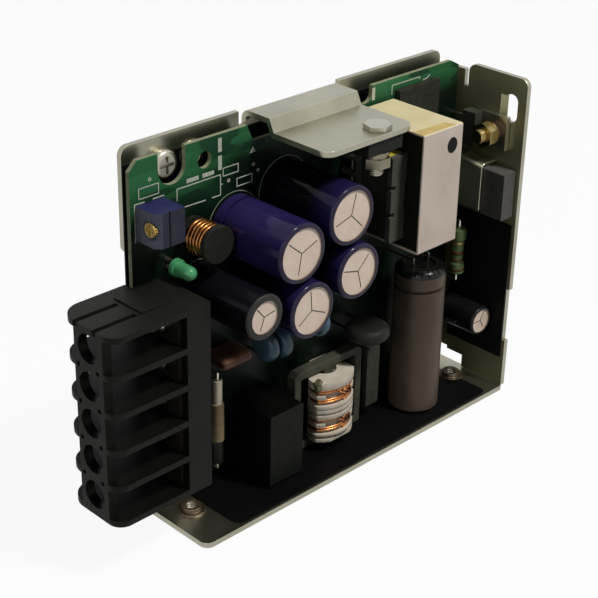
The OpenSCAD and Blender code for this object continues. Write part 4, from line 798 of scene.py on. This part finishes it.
def world(ambient):
    """White to the camera and in reflections, a faint fill elsewhere."""
    thing = bpy.data.worlds.new("studio")
    bpy.context.scene.world = thing
    thing.use_nodes = True
    tree = thing.node_tree
    tree.nodes.clear()
    mix = tree.nodes.new("ShaderNodeMixShader")
    tree.links.new(seen(tree), mix.inputs[0])
    for socket, colour, strength in ((mix.inputs[1], (1.0, 0.99, 0.97, 1), ambient),
                                     (mix.inputs[2], (1, 1, 1, 1), 1.0)):
        sky = tree.nodes.new("ShaderNodeBackground")
        sky.inputs["Color"].default_value = colour
        sky.inputs["Strength"].default_value = strength
        tree.links.new(sky.outputs[0], socket)
    out = tree.nodes.new("ShaderNodeOutputWorld")
    tree.links.new(mix.outputs[0], out.inputs["Surface"])


def lamp(name, place, target, size, power, colour):
    """A soft square light aimed at a point, all in metres."""
    data = bpy.data.lights.new(name, "AREA")
    data.size = size
    data.energy = power
    data.color = colour
    thing = bpy.data.objects.new(name, data)
    thing.location = place
    thing.rotation_mode = "QUATERNION"
    thing.rotation_quaternion = (Vector(target) - Vector(place)).to_track_quat("-Z", "Y")
    bpy.context.scene.collection.objects.link(thing)


def camera(azimuth, elevation, roll, place, lens):
    """The photograph's view; angles in degrees, place in millimetres."""
    a, e, r = (math.radians(v) for v in (azimuth, elevation, roll))
    back = Vector((math.sin(a) * math.cos(e), -math.cos(a) * math.cos(e), math.sin(e)))
    right = Vector((0, 0, 1)).cross(back).normalized()
    up = back.cross(right)
    right, up = right * math.cos(r) + up * math.sin(r), up * math.cos(r) - right * math.sin(r)
    data = bpy.data.cameras.new("view")
    data.lens = lens
    data.sensor_width = 36.0
    data.clip_start, data.clip_end = 0.01, 30.0
    thing = bpy.data.objects.new("view", data)
    turn = Matrix((right, up, back)).transposed().to_4x4()
    thing.matrix_world = Matrix.Translation(Vector(place) * MM) @ turn
    bpy.context.scene.collection.objects.link(thing)
    bpy.context.scene.camera = thing


# Dress the solids

# The chassis's bevelled edges take the lighter steel, a painted highlight.
dress("chassis", "plated_steel", "cut_steel", "side_steel", "collar_steel", rule=chassis_rule,
      edge=0.14, edge_look=1)
dress("insulating_sheet", "film")
dress("side_insulator", "film_side")
dress("circuit_board", "solder_mask", "board_edge", rule=edge_rule)
dress("ground_screw", "bolt_steel")
dress("board_screws", "screw_steel")
dress("terminal_housing", "block_black", "bay_black", rule=block_rule, edge=0.22)
dress("terminal_plates", "terminal_metal")
dress("terminal_screws", "screw_steel")
dress("trimmer_body", "trimmer_blue", "trimmer_top", "trimmer_face", rule=trimmer_rule, edge=0.12)
dress("trimmer_dial", "dial_yellow", edge=0.08)
dress("power_led", "lamp_green", "lead_tin", rule=lead_rule(BOARD_Y - LENS_GAP))
dress("filter_choke_core", "ferrite")
dress("filter_choke_winding", "copper_wire")
for can, (middle, radius, rim, front, sleeve, rim_look) in CANS.items():
    dress(can, sleeve, "can_end", "vent_line", rim_look, rule=can_rule(middle, radius, rim, front))
dress("bulk_capacitor", "sleeve_brown", "crimp_black", "pin_dark",
      rule=height_rule((CRIMP_FOOT, 0), (CRIMP_TOP, 1), (math.inf, 2)))
dress("transformer_core", "core_black", edge=0.25)
dress("transformer_bobbin", "former_grey", "lead_tin", rule=lead_rule(BOARD_Y - FORMER_GAP), edge=0.2)
# The winding's top shows the tape lit; its sides are the same tape in painted shade.
dress("transformer_winding", "winding_side", "winding_tape", rule=top_rule(FACING), edge=0.3)
dress("transformer_wrap", "wrap_white", "wrap_cream", rule=top_rule(FACING))
dress("line_choke_core", "frame_ferrite", edge=0.25)
dress("line_choke_bobbin", "former_white", edge=0.14)
dress("line_choke_windings", "copper_dark")
# The box is painted darker on top and sides than in front: painted shade.
dress("mains_capacitor", "box_dark", "box_front", rule=front_rule, edge=0.2)
dress("fuse", "fuse_body", "fuse_white", "fuse_cap", "lead_tin",
      rule=height_rule((FUSE_WIRE, 3), (FUSE_CAP, 2), (FUSE_SLEEVE, 0), (FUSE_END, 1), (math.inf, 3)))
dress("bypass_capacitor_1", "disc_blue")
dress("bypass_capacitor_2", "disc_blue")
dress("bypass_capacitor_3", "disc_blue")
dress("inrush_thermistor", "coating_grey")
dress("dipped_capacitor", "coating_dark", "coating_brown", rule=top_rule(DIPPED_FACING))
dress("snubber_capacitor", "box_grey", edge=0.15)
dress("snubber_clip", "clip_steel", edge=0.1)
dress("snubber_resistor", "resistor_green", "lead_tin", rule=resistor_rule)
dress("power_transistor", "device_dark", "device_tab", "lead_tin", rule=transistor_rule, edge=0.15)
dress("transistor_screw", "hardware_brass")
dress("transistor_washer", "hardware_brass")
dress("transistor_nut", "hardware_brass")
dress("transistor_bush", "bush_brown")
dress("output_rectifier", "device_black", edge=0.15)
dress("rectifier_bolt", "bolt_steel", edge=0.12)
dress("rectifier_washers", "nut_steel")
dress("rectifier_nut", "nut_steel")
dress("bridge_rectifier", "bridge_grey", edge=0.2)
dress("control_module", "module_dark", edge=0.15)

# Add the pieces

board_print()
dial_marks()
transformer_marks()
resistor_bands()
drum_turns()
choke_turns()
thread("transistor_thread", "hardware_brass", at(89.0, -14, 65.4), Vector((-1, 0, 0)),
       radius=1.5, length=1.6)
thread("rectifier_thread", "bolt_steel", at(47.4, -20.1, 71.3), Vector((0, 0, -1)),
       radius=1.5, length=1.7)
for side, spot in zip("ab", COLLARS):
    thread("collar_thread_" + side, "screw_steel", spot + Vector((0, 0, 0.4)) * MM,
           Vector((0, 0, 1)), radius=1.25, length=1.8, rise=-0.16)
resin_drop()

# Set the stage

MIDDLE = (0, 0, 0.04)
floor()
world(ambient=0.03)
lamp("key", (0.18, -0.45, 0.80), MIDDLE, size=0.13, power=6.6, colour=(1.0, 0.97, 0.92))
lamp("fill", (-0.80, -0.25, 0.45), MIDDLE, size=0.5, power=1.4, colour=(1.0, 0.98, 0.95))
camera(azimuth=-44.96, elevation=27.12, roll=1.21, place=(-211.04, -199.50, 185.30), lens=90.16)
bpy.context.scene.view_settings.view_transform = "Standard"
